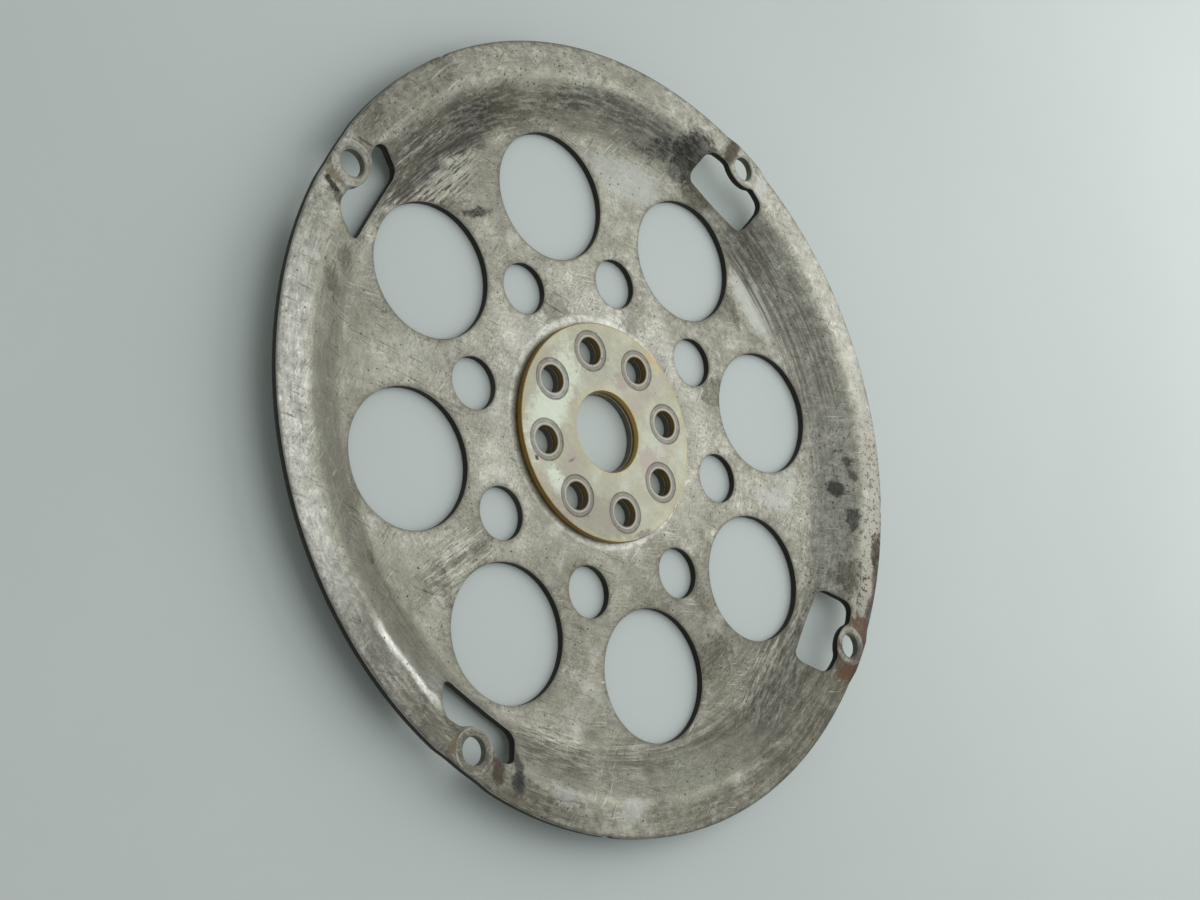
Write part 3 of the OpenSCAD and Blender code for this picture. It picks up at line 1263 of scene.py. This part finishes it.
    def _scratches(self, coats: Coats) -> None:
        """Brush marks round the plate, mottling, and sparse scratches in four directions.

        Args:
            coats: The plate's coats.
        """
        pen, fx = coats.pen, coats.effects
        rings = coats.mask(fx.ring_grain, run=14.0, pitch=0.55)
        grain = pen.noise(coats.place, 1.1, 4.0, 0.7)
        coarse = coats.mask(fx.cloud, size=19.0, low=0.4, high=0.62)
        coats.shade(rings, 0.93, 1.07)
        coats.shade(pen.level(coarse, pen.level(0.3, 0.5, grain), grain), 0.64, 1.36)
        coats.shade(coats.short, 0.78, 1.22)
        coats.shade(pen.noise(coats.place, 0.16, 3.0, 0.6), 0.84, 1.16)
        right = coats.mask(fx.belt, middle=on_circle(1.0, 0), span=80.0, inner=60.0,
                           outer=165.0, soft=6.0, streaky=0.0)
        border = coats.mask(fx.belt, span=360.0, inner=141.0, outer=165.0, soft=3.0, streaky=0.0)
        patchy = pen.level(pen.math("MAXIMUM", right, border), 0.5,
                           pen.noise(coats.place, 0.3, 4.0, 0.7))
        coats.shade(patchy, 0.72, 1.28)
        coats.raise_by(rings, 0.5)
        coats.raise_by(grain, 1.0)
        for degrees, pitch, share, tone in (
                (28, 0.5, 0.85, Tone.GREASE), (-48, 0.45, 0.8, Tone.GREASE),
                (12, 0.4, 0.7, Tone.STEEL_BRIGHT_AND_HIGHLIGHT), (-35, 0.45, 0.7, Tone.STEEL_BRIGHT_AND_HIGHLIGHT)):
            lines = coats.mask(fx.scratches, turn=float(np.radians(degrees)),
                               scale=(0.08, 1 / pitch, 0.0), share=share)
            coats.lay(lines, tone, 0.7)
        for patch in SCORED:
            spread = coats.spread(patch, broken=0.0)
            lines = coats.mask(fx.line_grain, turn=float(np.radians(-patch.degrees)),
                               scale=(0.16, 1.4, 0.0))
            coats.lay(pen.times(spread, pen.fade(lines, 0.49, 0.6)), patch.tone, patch.strength)
            between = pen.fade(lines, 0.34, 0.45, 1.0, 0.0)
            coats.lay(pen.times(spread, between), Tone.STEEL_BRIGHT_AND_HIGHLIGHT, 0.45)

    def _grounds(self, coats: Coats) -> None:
        """Uneven dull and bright steel, the slope painted darker as shade, and painted highlights
        on the flange and along the lower left bend.

        Args:
            coats: The plate's coats.
        """
        pen, fx = coats.pen, coats.effects
        coats.lay(coats.mask(fx.cloud, size=34.0, low=0.38, high=0.66), Tone.STEEL_DULL, 0.6)
        coats.lay(coats.mask(fx.cloud, size=13.0, low=0.5, high=0.7), Tone.STEEL_BRIGHT_AND_HIGHLIGHT, 0.45)
        moved = pen.vector("ADD", coats.place, (40.0, 90.0, 0.0)).outputs[0]
        soil = coats.mask(fx.cloud, place=moved, size=24.0, low=0.4, high=0.68)
        coats.lay(pen.times(soil, coats.grit), Tone.GREASE, 0.4)
        coats.belts([
            Belt(105, 120, 46, 58, Tone.STEEL_BRIGHT_AND_HIGHLIGHT, 0.32, 5.0, 0.2),
            # painted shade: the slope darkened all round, for the shade on its tilted face
            Belt(0, 360, 118, 140, Tone.SLOPE_SHADE, 0.6, 4.0, 0.2),
            Belt(355, 50, 117, 139, Tone.SLATE, 0.5, 4.0, 0.3),
            # painted highlights: the flange made paler at the left and at the right
            Belt(180, 45, 143, 160, Tone.STEEL_BRIGHT_AND_HIGHLIGHT, 0.6, 2.0, 0.2),
            Belt(5, 40, 143, 160, Tone.STEEL_BRIGHT_AND_HIGHLIGHT, 0.28, 2.0, 0.3),
            # painted highlight: a bright streak along the lower left flange bend
            Belt(209.5, 9, 139.4, 142.8, Tone.POLISHED_AND_HIGHLIGHT, 0.65, 1.2, 0.1),
            Belt(258, 55, 46, 116, Tone.GREASE, 0.28, 9.0, 0.4),
            Belt(292, 34, 60, 118, Tone.GREASE, 0.3, 9.0, 0.4),
            Belt(20, 26, 66, 112, Tone.GREASE, 0.26, 9.0, 0.4),
            Belt(186, 46, 119, 136, Tone.GREASE, 0.24, 4.0, 0.4),
            Belt(98, 40, 121, 137, Tone.GREASE, 0.38, 4.0, 0.6),
            Belt(118, 16, 138, 156, Tone.GREASE, 0.4, 4.0, 0.7),
            Belt(222, 34, 142, 160, Tone.GREASE, 0.72, 2.0, 0.5),
            Belt(0, 44, 48, 60, Tone.STEEL_BRIGHT_AND_HIGHLIGHT, 0.22, 4.0, 0.2),
            Belt(295, 46, 141, 160, Tone.GREASE, 0.62, 3.0, 0.5),
            Belt(302, 22, 140, 160, Tone.GREASE, 0.5, 3.0, 0.4)])

    def _grime(self, coats: Coats) -> None:
        """Grease and soot where the plate has them: belts on the slope, then single blotches.

        Args:
            coats: The plate's coats.
        """
        coats.blotches([
            Blotch((45, 101), 21, 10, -22, Tone.SMOOTH, 0.6, 0.3, 0.0),
            Blotch((104, 47), 20, 8, 112, Tone.SMOOTH, 0.7, 0.3, 0.0),
            Blotch((98, -30), 16, 9, 80, Tone.SMOOTH, 0.3, 0.4, 0.0),
            Blotch((-75, 62), 12, 9, 40, Tone.SMOOTH, 0.25, 0.6, 0.0)])
        coats.belts([
            Belt(113, 26, 119, 138, Tone.GREASE, 0.75, 4.0, 0.75),
            Belt(116, 17, 119, 124, Tone.SOOT_AND_SHADE, 0.75, 1.6, 0.7, True),
            Belt(106, 8, 124, 134, Tone.SOOT_AND_SHADE, 0.6, 3.0, 0.7),
            Belt(93, 16, 127, 135, Tone.GREASE, 0.45, 3.0, 0.85),
            Belt(72, 22, 130, 140, Tone.SOOT_AND_SHADE, 0.55, 3.0, 0.95),
            Belt(20, 28, 119, 137, Tone.GREASE, 0.5, 4.0, 0.9, True),
            Belt(27, 14, 115, 121, Tone.GREASE, 0.7, 2.0, 0.6, True),
            Belt(34, 8, 118, 134, Tone.SOOT_AND_SHADE, 0.5, 4.0, 0.95),
            Belt(336, 22, 118, 140, Tone.GREASE, 0.2, 5.0, 0.9, True),
            Belt(298, 20, 112, 150, Tone.GREASE, 0.5, 8.0, 0.8),
            Belt(270, 24, 118, 128, Tone.GREASE, 0.5, 3.0, 0.9, True),
            Belt(240, 10, 126, 140, Tone.GREASE, 0.35, 4.0, 0.7),
            Belt(152, 8, 118, 134, Tone.GREASE, 0.12, 4.0, 0.7),
            Belt(195, 25, 120, 134, Tone.GREASE, 0.35, 4.0, 0.6, True)])
        coats.blotches([
            Blotch((-40, 88.5), 7.5, 1.9, 8, Tone.SOOT_AND_SHADE, 0.9, 0.9, 0.3),
            Blotch((-55, 90), 12, 4, 10, Tone.GREASE, 0.5, 1.0),
            Blotch((-33, 126), 6, 5, 30, Tone.SOOT_AND_SHADE, 0.55, 0.8, 0.7),
            Blotch((79, 110), 12, 12, -20, Tone.SOOT_AND_SHADE, 0.95, 0.5, 0.35),
            Blotch((66, 113), 16, 4, -12, Tone.SOOT_AND_SHADE, 0.75, 0.9, 0.6),
            Blotch((82, 95), 9, 8, -50, Tone.GREASE, 0.8, 0.5, 0.4),
            Blotch((33, -94), 15, 7, 25, Tone.GREASE, 0.7, 0.9),
            Blotch((33, -68), 5, 14, 10, Tone.GREASE, 0.45, 1.0),
            Blotch((90, 45), 4, 9, 12, Tone.GREASE, 0.6, 0.9, 0.3),
            Blotch((-91, -47), 3, 8, 5, Tone.GREASE, 0.5, 1.0),
            Blotch((-82, -38), 22, 1.3, 19, Tone.GREASE, 0.5, 0.8),
            Blotch((-11, 50), 8, 6, 30, Tone.GREASE, 0.5, 0.8),
            Blotch((31, 44), 9, 7, 30, Tone.GREASE, 0.5, 0.8),
            Blotch((68, 11), 8, 7, 10, Tone.GREASE, 0.6, 0.9),
            Blotch((-28, -50), 6, 4, 0, Tone.OIL_AND_SHADE, 0.35, 0.8),
            Blotch((20, -50), 7, 5, 0, Tone.OIL_AND_SHADE, 0.35, 0.8),
            Blotch((-62, -80), 5, 14, 30, Tone.GREASE, 0.35, 0.9),
            Blotch((-122, -32), 2.4, 2.8, 0, Tone.GREASE, 0.8, 0.4),
            Blotch((-117, 63), 5, 6, 20, Tone.GREASE, 0.7, 1.0),
            Blotch((-109, 72), 5, 4, 40, Tone.GREASE, 0.6, 0.9),
            Blotch((-110, 90), 2.2, 7, 42, Tone.SOOT_AND_SHADE, 0.7, 1.0, 0.4),
            Blotch((-90, 120), 9, 6, 35, Tone.GREASE, 0.5, 1.0, 0.8),
            Blotch((125.5, -37.5), 3.6, 4.6, 20, Tone.SOOT_AND_SHADE, 0.85, 0.4, 0.1),
            Blotch((127.5, -52), 3.2, 6, -15, Tone.SOOT_AND_SHADE, 0.8, 0.8, 0.3),
            Blotch((133, -27), 2.8, 2.4, 30, Tone.SOOT_AND_SHADE, 0.8, 0.9, 0.3),
            Blotch((134, -33), 2.2, 2.6, 0, Tone.SOOT_AND_SHADE, 0.7, 0.9, 0.3),
            Blotch((117, -76), 8, 9, 0, Tone.GREASE, 0.8, 0.9),
            Blotch((86, -35), 11, 5, -15, Tone.CHALK_AND_HIGHLIGHT, 0.7, 1.2),
            Blotch((85, -46), 6, 3, 0, Tone.GREASE, 0.5, 0.9),
            Blotch((-34, -94), 13, 3, -48, Tone.CHALK_AND_HIGHLIGHT, 0.4, 1.3),
            Blotch((-66, -127), 9, 4, -30, Tone.CHALK_AND_HIGHLIGHT, 0.45, 1.2),
            Blotch((-35, -139), 10, 4, 15, Tone.CHALK_AND_HIGHLIGHT, 0.4, 1.2),
            Blotch((-80, 35), 13, 6, -40, Tone.CHALK_AND_HIGHLIGHT, 0.22, 1.3)])

    def _rust(self, coats: Coats) -> None:
        """Flaking beside the lower right pad: pale flakes, with dark cracks between them.

        Args:
            coats: The plate's coats.
        """
        pen, fx = coats.pen, coats.effects
        zone = coats.mask(fx.belt, middle=on_circle(1.0, 338), span=22.0,
                          inner=142.5, outer=160.0, soft=3.0, sway=coats.sway, streaky=0.0)
        coats.lay(pen.times(zone, pen.fade(coats.wander, 0.42, 0.5)), Tone.FLAKE, 0.65)
        cracks = pen.times(pen.fade(coats.wander, 0.36, 0.4),
                           pen.fade(coats.wander, 0.42, 0.45, 1.0, 0.0))
        coats.lay(pen.times(zone, cracks), Tone.RUST_DARK, 0.8)
        coats.belts([
            Belt(12, 28, 144, 160, Tone.FLAKE, 0.3, 3.0, 0.3),
            Belt(322, 17, 150.5, 158, Tone.RUST_DARK, 0.8, 1.2, 0.3)])
        coats.blotches([
            Blotch((135, -67), 3.5, 8, -28, Tone.RUST_DARK, 0.85, 0.8, 0.2),
            Blotch((118, -97), 2.4, 9, 42, Tone.RUST, 0.8, 0.8, 0.2)])

    def _pad_marks(self, coats: Coats) -> None:
        """What is seen on the four pads: clamping rings, lips, stains, and painted shade and
        highlight on pad ramps.

        Args:
            coats: The plate's coats.
        """
        pen, fx = coats.pen, coats.effects
        rusty = coats.mask(fx.ring, centre=on_circle(PAD_RING, 315), radius=10.4, width=3.0,
                           ragged=0.6)
        coats.lay(rusty, Tone.RUST, 0.75)
        for turn, radius, width, tone, strength, ragged in (
                (135, 8.3, 0.45, Tone.CHALK_AND_HIGHLIGHT, 0.5, 0.9), (135, 9.3, 0.7, Tone.GREASE, 0.4, 1.0),
                (135, 6.3, 0.5, Tone.STEEL_BRIGHT_AND_HIGHLIGHT, 0.3, 0.8),
                (45, 6.4, 1.6, Tone.STEEL_BRIGHT_AND_HIGHLIGHT, 0.3, 0.8),
                (225, 7.7, 0.45, Tone.CHALK_AND_HIGHLIGHT, 0.4, 0.9), (225, 8.5, 0.5, Tone.GREASE, 0.4, 0.9),
                (225, 6.3, 0.5, Tone.GREASE, 0.25, 0.9),
                (315, 7.0, 1.8, Tone.STEEL_BRIGHT_AND_HIGHLIGHT, 0.25, 0.7),
                (315, 8.8, 0.5, Tone.SOOT_AND_SHADE, 0.6, 0.7)):
            mask = coats.mask(fx.ring, centre=on_circle(PAD_RING, turn), radius=radius,
                              width=width, ragged=ragged)
            coats.lay(mask, tone, strength)
        coats.blotches([
            # painted shade on the upper right pad's ramp that faces away from the light, and a
            # painted highlight on its lit ramp
            Blotch((98.5, 110.5), 7.5, 3.4, 45, Tone.UMBER_AND_SHADE, 0.9, 0.4, 0.2),
            Blotch((113, 95), 8, 4.5, 45, Tone.CHALK_AND_HIGHLIGHT, 0.95, 0.5, 0.4),
            # painted shade on the upper left pad's ramp that faces away from the light
            Blotch((-112, 99), 2.4, 5, 40, Tone.OIL_AND_SHADE, 0.8, 0.9, 0.2),
            Blotch((-113, 96), 1.2, 5, 42, Tone.SOOT_AND_SHADE, 0.9, 0.8, 0.1),
            Blotch((-95, 111), 0.9, 4, 60, Tone.GREASE, 0.8, 0.8, 0.1),
            Blotch((-103, 114), 6, 4, 40, Tone.CHALK_AND_HIGHLIGHT, 0.4, 0.9, 0.5),
            Blotch((-94, -112), 3.2, 5.4, -10, Tone.UMBER_AND_SHADE, 0.95, 0.4, 0.1),
            Blotch((-86.5, -118.5), 3.1, 4.8, -10, Tone.TAR, 0.95, 0.6, 0.2),
            Blotch((-84, -112), 2.8, 8.5, -12, Tone.SOOT_AND_SHADE, 0.8, 0.6, 0.2),
            Blotch((-88, -123), 4, 2.5, -40, Tone.OIL_AND_SHADE, 0.6, 0.9),
            Blotch((-111, -99), 1.4, 5, -40, Tone.OIL_AND_SHADE, 0.8, 0.9, 0.2),
            Blotch((94, -98), 2.2, 8, 35, Tone.RUST, 0.85, 0.7, 0.2),
            Blotch((110, -94), 7, 2, -25, Tone.RUST, 0.8, 0.8, 0.2),
            Blotch((97, -113), 6, 3, 20, Tone.RUST, 0.85, 0.7, 0.2)])

    def _flecks(self, coats: Coats) -> None:
        """Dark specks everywhere, closer together on the right slope and at the top.

        Args:
            coats: The plate's coats.
        """
        pen, fx = coats.pen, coats.effects
        few = coats.mask(fx.flecks, cell=4.2, share=0.35, size=0.1)
        many = coats.mask(fx.flecks, cell=2.6, share=0.4, size=0.19)
        near = coats.mask(fx.belt, middle=on_circle(1.0, 335), span=28.0, inner=108.0,
                          outer=150.0, soft=6.0, streaky=0.0)
        top = coats.mask(fx.belt, middle=on_circle(1.0, 108), span=34.0, inner=124.0,
                         outer=152.0, soft=5.0, streaky=0.0)
        coats.lay(few, Tone.SOOT_AND_SHADE, 0.85)
        for area in (near, top):
            coats.lay(pen.times(many, area), Tone.SOOT_AND_SHADE, 0.8)

    def _edges(self, coats: Coats) -> None:
        """Painted near-black shade on the sheared walls, a smoky border, and the light line that
        wear rubs on an edge.

        Args:
            coats: The plate's coats.
        """
        pen, fx = coats.pen, coats.effects
        smoke = coats.mask(fx.edge_wear, distance=coats.edge, reach=3.2, ragged=0.7)
        coats.lay(pen.times(smoke, coats.face), Tone.GREASE, 0.4)
        ring = coats.mask(fx.ring, centre=(-0.6, 0.6), radius=45.0, width=2.0, ragged=0.7)
        coats.lay(pen.times(ring, coats.face), Tone.POLISHED_AND_HIGHLIGHT, 0.4)
        # painted shade: the sheared walls darkened nearly to black
        coats.lay(pen.fade(coats.wall, 0.35, 0.9), Tone.WALL_SHADE, 0.95)
        for turn in PADS:
            worn = coats.mask(fx.ring, centre=on_circle(PAD_RING, turn), radius=5.0, width=1.6,
                              ragged=0.3)
            coats.lay(pen.times(worn, coats.wall), Tone.STEEL_DULL, 0.65)
        hub = coats.mask(fx.ring, centre=(0.0, 0.0), radius=22.0, width=40.0, ragged=0.2)
        coats.lay(pen.times(hub, coats.wall), Tone.STEEL_DULL, 0.5)
        lip = pen.times(pen.fade(coats.wall, 0.02, 0.2), pen.fade(coats.wall, 0.4, 0.75, 1.0, 0.0))
        rubbed = pen.level(0.6, 1.0, pen.fade(pen.noise(coats.place, 0.25, 4.0, 0.6), 0.38, 0.58))
        coats.lay(pen.times(lip, rubbed, coats.face), Tone.STEEL_BRIGHT_AND_HIGHLIGHT, 0.75)

    def dress(self, piece: bpy.types.Object, effects: Effects) -> None:
        """Gives the plate its worn steel and its place in the frame.

        Args:
            piece: The plate.
            effects: The shared node groups.
        """
        coats = Coats("worn_sheet_steel", effects, Tone.STEEL)
        self._grounds(coats)
        self._scratches(coats)
        coats.keep()
        self._grime(coats)
        self._rust(coats)
        self._pad_marks(coats)
        self._flecks(coats)
        coats.turn_over()
        self._edges(coats)
        piece.data.materials.append(coats.close(0.5, 0.15))
        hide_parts("drive_plate")
        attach(piece, BODY)


@dataclass
class ReinforcingWasher:
    """The plated washer over the crank bolt holes.

    Attributes:
        outer: Radius of its rim.
        bore: Radius of its bore.
        low: Height of its back.
        high: Height of its front.
        edge: Radius of its turned edges.
        head_r: Radius of the mark that each bolt head left.
        head_sink: Depth of that mark.
    """

    outer: float
    low: float
    high: float
    bore: float = 16.0
    edge: float = 0.4
    head_r: float = 7.9
    head_sink: float = 0.06

    def _heads(self) -> list[Place]:
        """Centres of the crank bolt holes."""
        crank = mount_dims("crank_bolts")
        return [on_circle(crank["pcd_mm"] / 2, 360 / crank["count"] * k)
                for k in range(crank["count"])]

    def front(self, places: Array) -> Array:
        """Flat front, sunk by a smooth step inside each bolt head's mark.

        Args:
            places: Places on the washer.

        Returns:
            The heights.
        """
        height = np.full(len(places), self.high)
        for centre in self._heads():
            away = np.hypot(*(places - np.array(centre)).T)
            height -= self.head_sink * ease(-away, -self.head_r - 0.2, -self.head_r + 0.2)
        return height

    def back(self, places: Array) -> Array:
        """Flat back on the web."""
        return np.full(len(places), self.low)

    def build(self) -> bpy.types.Object:
        """Makes the washer's mesh, with close rings of places round every bolt head's mark.

        Returns:
            The washer.
        """
        hole_r = mount_dims("crank_bolts")["hole_r_mm"]
        edges = [RoundEdge(self.outer, hole=False, roll=self.edge, burr=self.edge, pitch=0.8)]
        edges += [RoundEdge(hole_r, centre, roll=0.3, burr=0.2, pitch=0.6)
                  for centre in self._heads()]
        edges += [RoundEdge(self.bore, roll=self.edge, burr=self.edge, pitch=0.8)]
        wide = lattice(17.5, self.outer - 1.2, 1.5, 0)
        away = np.min([np.hypot(*(wide - np.array(c)).T) for c in self._heads()], axis=0)
        net = [wide[away > 8.9]]
        for centre in self._heads():
            net.append(np.array(centre) + lattice(6.9, 8.8, 0.4, 64))
        sheet = Sheet(self.front, self.back, edges, np.concatenate(net), guard=0.3)
        return sheet.build("washer_sheet")

    def dress(self, piece: bpy.types.Object, effects: Effects) -> None:
        """Gives the washer its yellow zinc: clouds, a painted highlight, bolt head marks, scuffs
        and gold walls with painted shade.

        Args:
            piece: The washer.
            effects: The shared node groups.
        """
        coats = Coats("yellow_zinc_plate", effects, Tone.ZINC)
        pen, fx = coats.pen, coats.effects
        coats.lay(coats.mask(fx.cloud, size=16.0, low=0.45, high=0.65), Tone.ZINC_PALE_AND_HIGHLIGHT, 0.35)
        shifted = pen.vector("ADD", coats.place, (70.0, 20.0, 0.0)).outputs[0]
        blush = coats.mask(fx.cloud, place=shifted, size=15.0, low=0.46, high=0.62)
        coats.lay(blush, Tone.ZINC_BLUSH, 0.5)
        for reach, tone, strength in ((7.0, Tone.ZINC_YELLOW, 0.3), (1.0, Tone.ZINC_GOLD, 0.5)):
            rim = coats.mask(fx.edge_wear, distance=coats.edge, reach=reach, ragged=0.8)
            coats.lay(rim, tone, strength)
        coats.blotches([
            # pale tint and painted highlight over the upper left of the washer
            Blotch((-25, 15), 9, 26, -40, Tone.ZINC_PALE_AND_HIGHLIGHT, 0.7, 0.6, 0.0),
            Blotch((15, 20), 7, 5, 20, Tone.ZINC_BLUSH, 0.6, 0.8, 0.0),
            Blotch((20, -14), 8, 6, -20, Tone.ZINC_BLUSH, 0.6, 0.8, 0.0),
            Blotch((4, 24), 8, 5, -10, Tone.ZINC_WORN, 0.25, 0.8, 0.0),
            Blotch((-31, -16), 4, 6, 20, Tone.ZINC_PALE_AND_HIGHLIGHT, 0.8, 0.8, 0.0),
            Blotch((33, 26), 6, 3, -45, Tone.ZINC_GOLD, 0.35, 0.8, 0.0),
            Blotch((-39, -6), 0.9, 1.2, 20, Tone.SOOT_AND_SHADE, 0.8, 0.7, 0.0),
            Blotch((-22, -9), 2.2, 0.5, 15, Tone.SOOT_AND_SHADE, 0.5, 1.0, 0.3),
            Blotch((-16, -31), 24, 9, -25, Tone.ZINC_WORN, 0.35, 0.6, 0.0),
            Blotch((8, -41), 5, 1.4, 10, Tone.ZINC_WORN, 0.8, 0.9)])
        lines = coats.mask(fx.line_grain, turn=0.7, scale=(0.11, 2.5, 0.0))
        rings = coats.mask(fx.ring_grain, run=26.0, pitch=0.5)
        coats.shade(lines, 0.95, 1.05)
        coats.shade(rings, 0.95, 1.05)
        for centre in self._heads():
            for radius, width, tone, strength in (
                    (6.5, 2.2, Tone.ZINC_WORN, 0.8), (6.1, 0.4, Tone.STEEL_BRIGHT_AND_HIGHLIGHT, 0.4),
                    (8.0, 0.45, Tone.SOOT_AND_SHADE, 0.5)):
                mask = coats.mask(fx.ring, centre=centre, radius=radius, width=width,
                                  ragged=0.25)
                coats.lay(mask, tone, strength)
        few = coats.mask(fx.flecks, cell=5.0, share=0.25, size=0.07)
        coats.lay(few, Tone.SOOT_AND_SHADE, 0.8)
        wall = pen.fade(coats.wall, 0.2, 0.8)
        coats.lay(wall, Tone.ZINC_GOLD, 0.95)
        height = pen.part(coats.place, 2)
        # painted shade: the foot of the washer's wall darkened as contact shadow
        coats.lay(pen.times(wall, pen.fade(height, 3.1, 4.3, 1.0, 0.0)), Tone.ZINC_BROWN_SHADE, 0.95)
        # painted shade: the walls of the bolt holes darkened
        for centre in self._heads():
            inside = coats.mask(fx.ring, centre=centre, radius=5.0, width=1.4, ragged=0.0)
            coats.lay(pen.times(inside, wall), Tone.ZINC_BROWN_SHADE, 0.6)
        coats.raise_by(lines, 0.4)
        coats.raise_by(rings, 0.5)
        piece.data.materials.append(coats.close(0.25, 0.08))
        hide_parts("reinforcing_washer")
        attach(piece, BODY)


@dataclass(frozen=True)
class Softbox:
    """A square lamp that looks at the plate.

    Attributes:
        name: The lamp's name.
        azimuth: Turn of its direction from +X, in degrees.
        elevation: Its height above the floor's plane, in degrees.
        distance: Its distance in metres.
        size: Length of its side in metres.
        power: Power in watts.
    """

    name: str
    azimuth: float
    elevation: float
    distance: float
    size: float
    power: float

    def hang(self) -> None:
        """Adds the lamp, turned towards the plate's middle."""
        x, y = on_circle(np.cos(np.radians(self.elevation)), self.azimuth)
        away = Vector((x, y, float(np.sin(np.radians(self.elevation)))))
        data = bpy.data.lights.new(self.name, "AREA")
        data.size, data.energy = self.size, self.power
        lamp = bpy.data.objects.new(self.name, data)
        lamp.location = away * self.distance
        lamp.rotation_euler = (-away).to_track_quat("-Z", "Y").to_euler()
        bpy.context.scene.collection.objects.link(lamp)


@dataclass(frozen=True)
class Viewpoint:
    """The camera, as fitted to the photograph.

    Attributes:
        azimuth: Turn of the camera's direction from +X, in degrees.
        elevation: Its height above the floor's plane, in degrees.
        roll: Turn of the picture about the line of sight, in degrees.
        distance: Distance in metres to the place that it aims at.
        aim: That place, in metres.
        lens: Focal length in millimetres on a sensor 36 mm wide.
    """

    azimuth: float = -173.58
    elevation: float = 45.483
    roll: float = 73.243
    distance: float = 0.69738
    aim: tuple[float, float, float] = (-0.00327, -0.00636, 0.003)
    lens: float = 54.425

    def set_up(self) -> None:
        """Adds the camera: its right and up axes are the level ones, turned by the roll."""
        az, el, roll = np.radians([self.azimuth, self.elevation, self.roll])
        back = np.array([np.cos(el) * np.cos(az), np.cos(el) * np.sin(az), np.sin(el)])
        level_right = np.array([-np.sin(az), np.cos(az), 0.0])
        level_up = np.cross(back, level_right)
        right = np.cos(roll) * level_right + np.sin(roll) * level_up
        up = np.cross(back, right)
        spot = np.array(self.aim) + self.distance * back
        data = bpy.data.cameras.new("camera")
        data.lens, data.sensor_width = self.lens, 36.0
        camera = bpy.data.objects.new("camera", data)
        columns = np.column_stack([right, up, back, spot])
        camera.matrix_world = Matrix(np.vstack([columns, [0, 0, 0, 1]]).tolist())
        bpy.context.scene.collection.objects.link(camera)
        bpy.context.scene.camera = camera


@dataclass(frozen=True)
class Studio:
    """Pale floor, pale surroundings and soft lamps.

    Attributes:
        floor_half: Half the side of the floor, in metres.
        floor_drop: Gap in metres that keeps the floor just clear of the web's back.
        floor_colour: Display colour of the floor.
        world_colour: Display colour of the surroundings.
        world_strength: How much light they give.
    """

    floor_half: float = 3.0
    floor_drop: float = 0.0001
    floor_colour: Finish = Finish((222, 231, 227), 0.6, 0.0)
    world_colour: Finish = Finish((214, 220, 220), 0.5, 0.0)
    world_strength: float = 0.44

    def _floor(self, effects: Effects) -> None:
        """A flat grid of places, dressed in a faintly uneven matt finish.

        Args:
            effects: The shared node groups.
        """
        run = np.linspace(-self.floor_half, self.floor_half, 13)
        x, y = np.meshgrid(run, run)
        places = np.stack([x, y, np.full_like(x, -self.floor_drop)], axis=-1).reshape(-1, 3)
        grid = np.arange(len(places)).reshape(x.shape)
        corners = [grid[:-1, :-1], grid[:-1, 1:], grid[1:, 1:], grid[1:, :-1]]
        faces = np.stack(corners, axis=-1).reshape(-1, 4)
        mesh = bpy.data.meshes.new("floor")
        mesh.from_pydata(places, [], faces.tolist())
        floor = bpy.data.objects.new("floor", mesh)
        bpy.context.scene.collection.objects.link(floor)
        material = bpy.data.materials.new("pale_floor")
        material.use_nodes = True
        material.node_tree.nodes.clear()
        pen = NodePen(material.node_tree)
        place = pen.node("TexCoord", {}).outputs["Object"]
        mask = pen.use(effects.cloud, place=place, size=0.25, low=0.3, high=0.7)
        pale = self.floor_colour.light
        colour = pen.blend(mask, pale, tuple(0.96 * part for part in pale[:3]) + (1.0,))
        shader = pen.node("BsdfPrincipled", {"Base Color": colour,
                                             "Roughness": self.floor_colour.roughness})
        pen.node("OutputMaterial", {"Surface": shader.outputs[0]})
        mesh.materials.append(material)

    def _world(self) -> None:
        """Plain pale light from all round."""
        world = bpy.data.worlds.new("pale_room")
        world.use_nodes = True
        ground = world.node_tree.nodes["Background"]
        ground.inputs["Color"].default_value = self.world_colour.light
        ground.inputs["Strength"].default_value = self.world_strength
        bpy.context.scene.world = world

    def set_up(self, effects: Effects) -> None:
        """Adds the floor, the surroundings and the lamps.

        Args:
            effects: The shared node groups.
        """
        self._floor(effects)
        self._world()
        Softbox("key", 3.0, 33.0, 0.95, 0.8, 2.9).hang()
        Softbox("top", 20.0, 84.0, 1.6, 1.5, 5.6).hang()


def main() -> None:
    """Builds the camera, the studio and both pieces."""
    logging.basicConfig(level=logging.INFO, format="%(name)s: %(message)s")
    bpy.context.scene.view_settings.view_transform = "Standard"
    Viewpoint().set_up()
    effects = Effects()
    Studio().set_up(effects)
    plate_low, plate_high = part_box("drive_plate")
    plate = DrivePlate(rim_r=(plate_high.x - plate_low.x) / 2 * TO_MM)
    plate.dress(plate.build(), effects)
    washer_low, washer_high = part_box("reinforcing_washer")
    washer = ReinforcingWasher(outer=(washer_high.x - washer_low.x) / 2 * TO_MM,
                               low=washer_low.z * TO_MM, high=washer_high.z * TO_MM)
    washer.dress(washer.build(), effects)


if __name__ == "__main__":
    main()
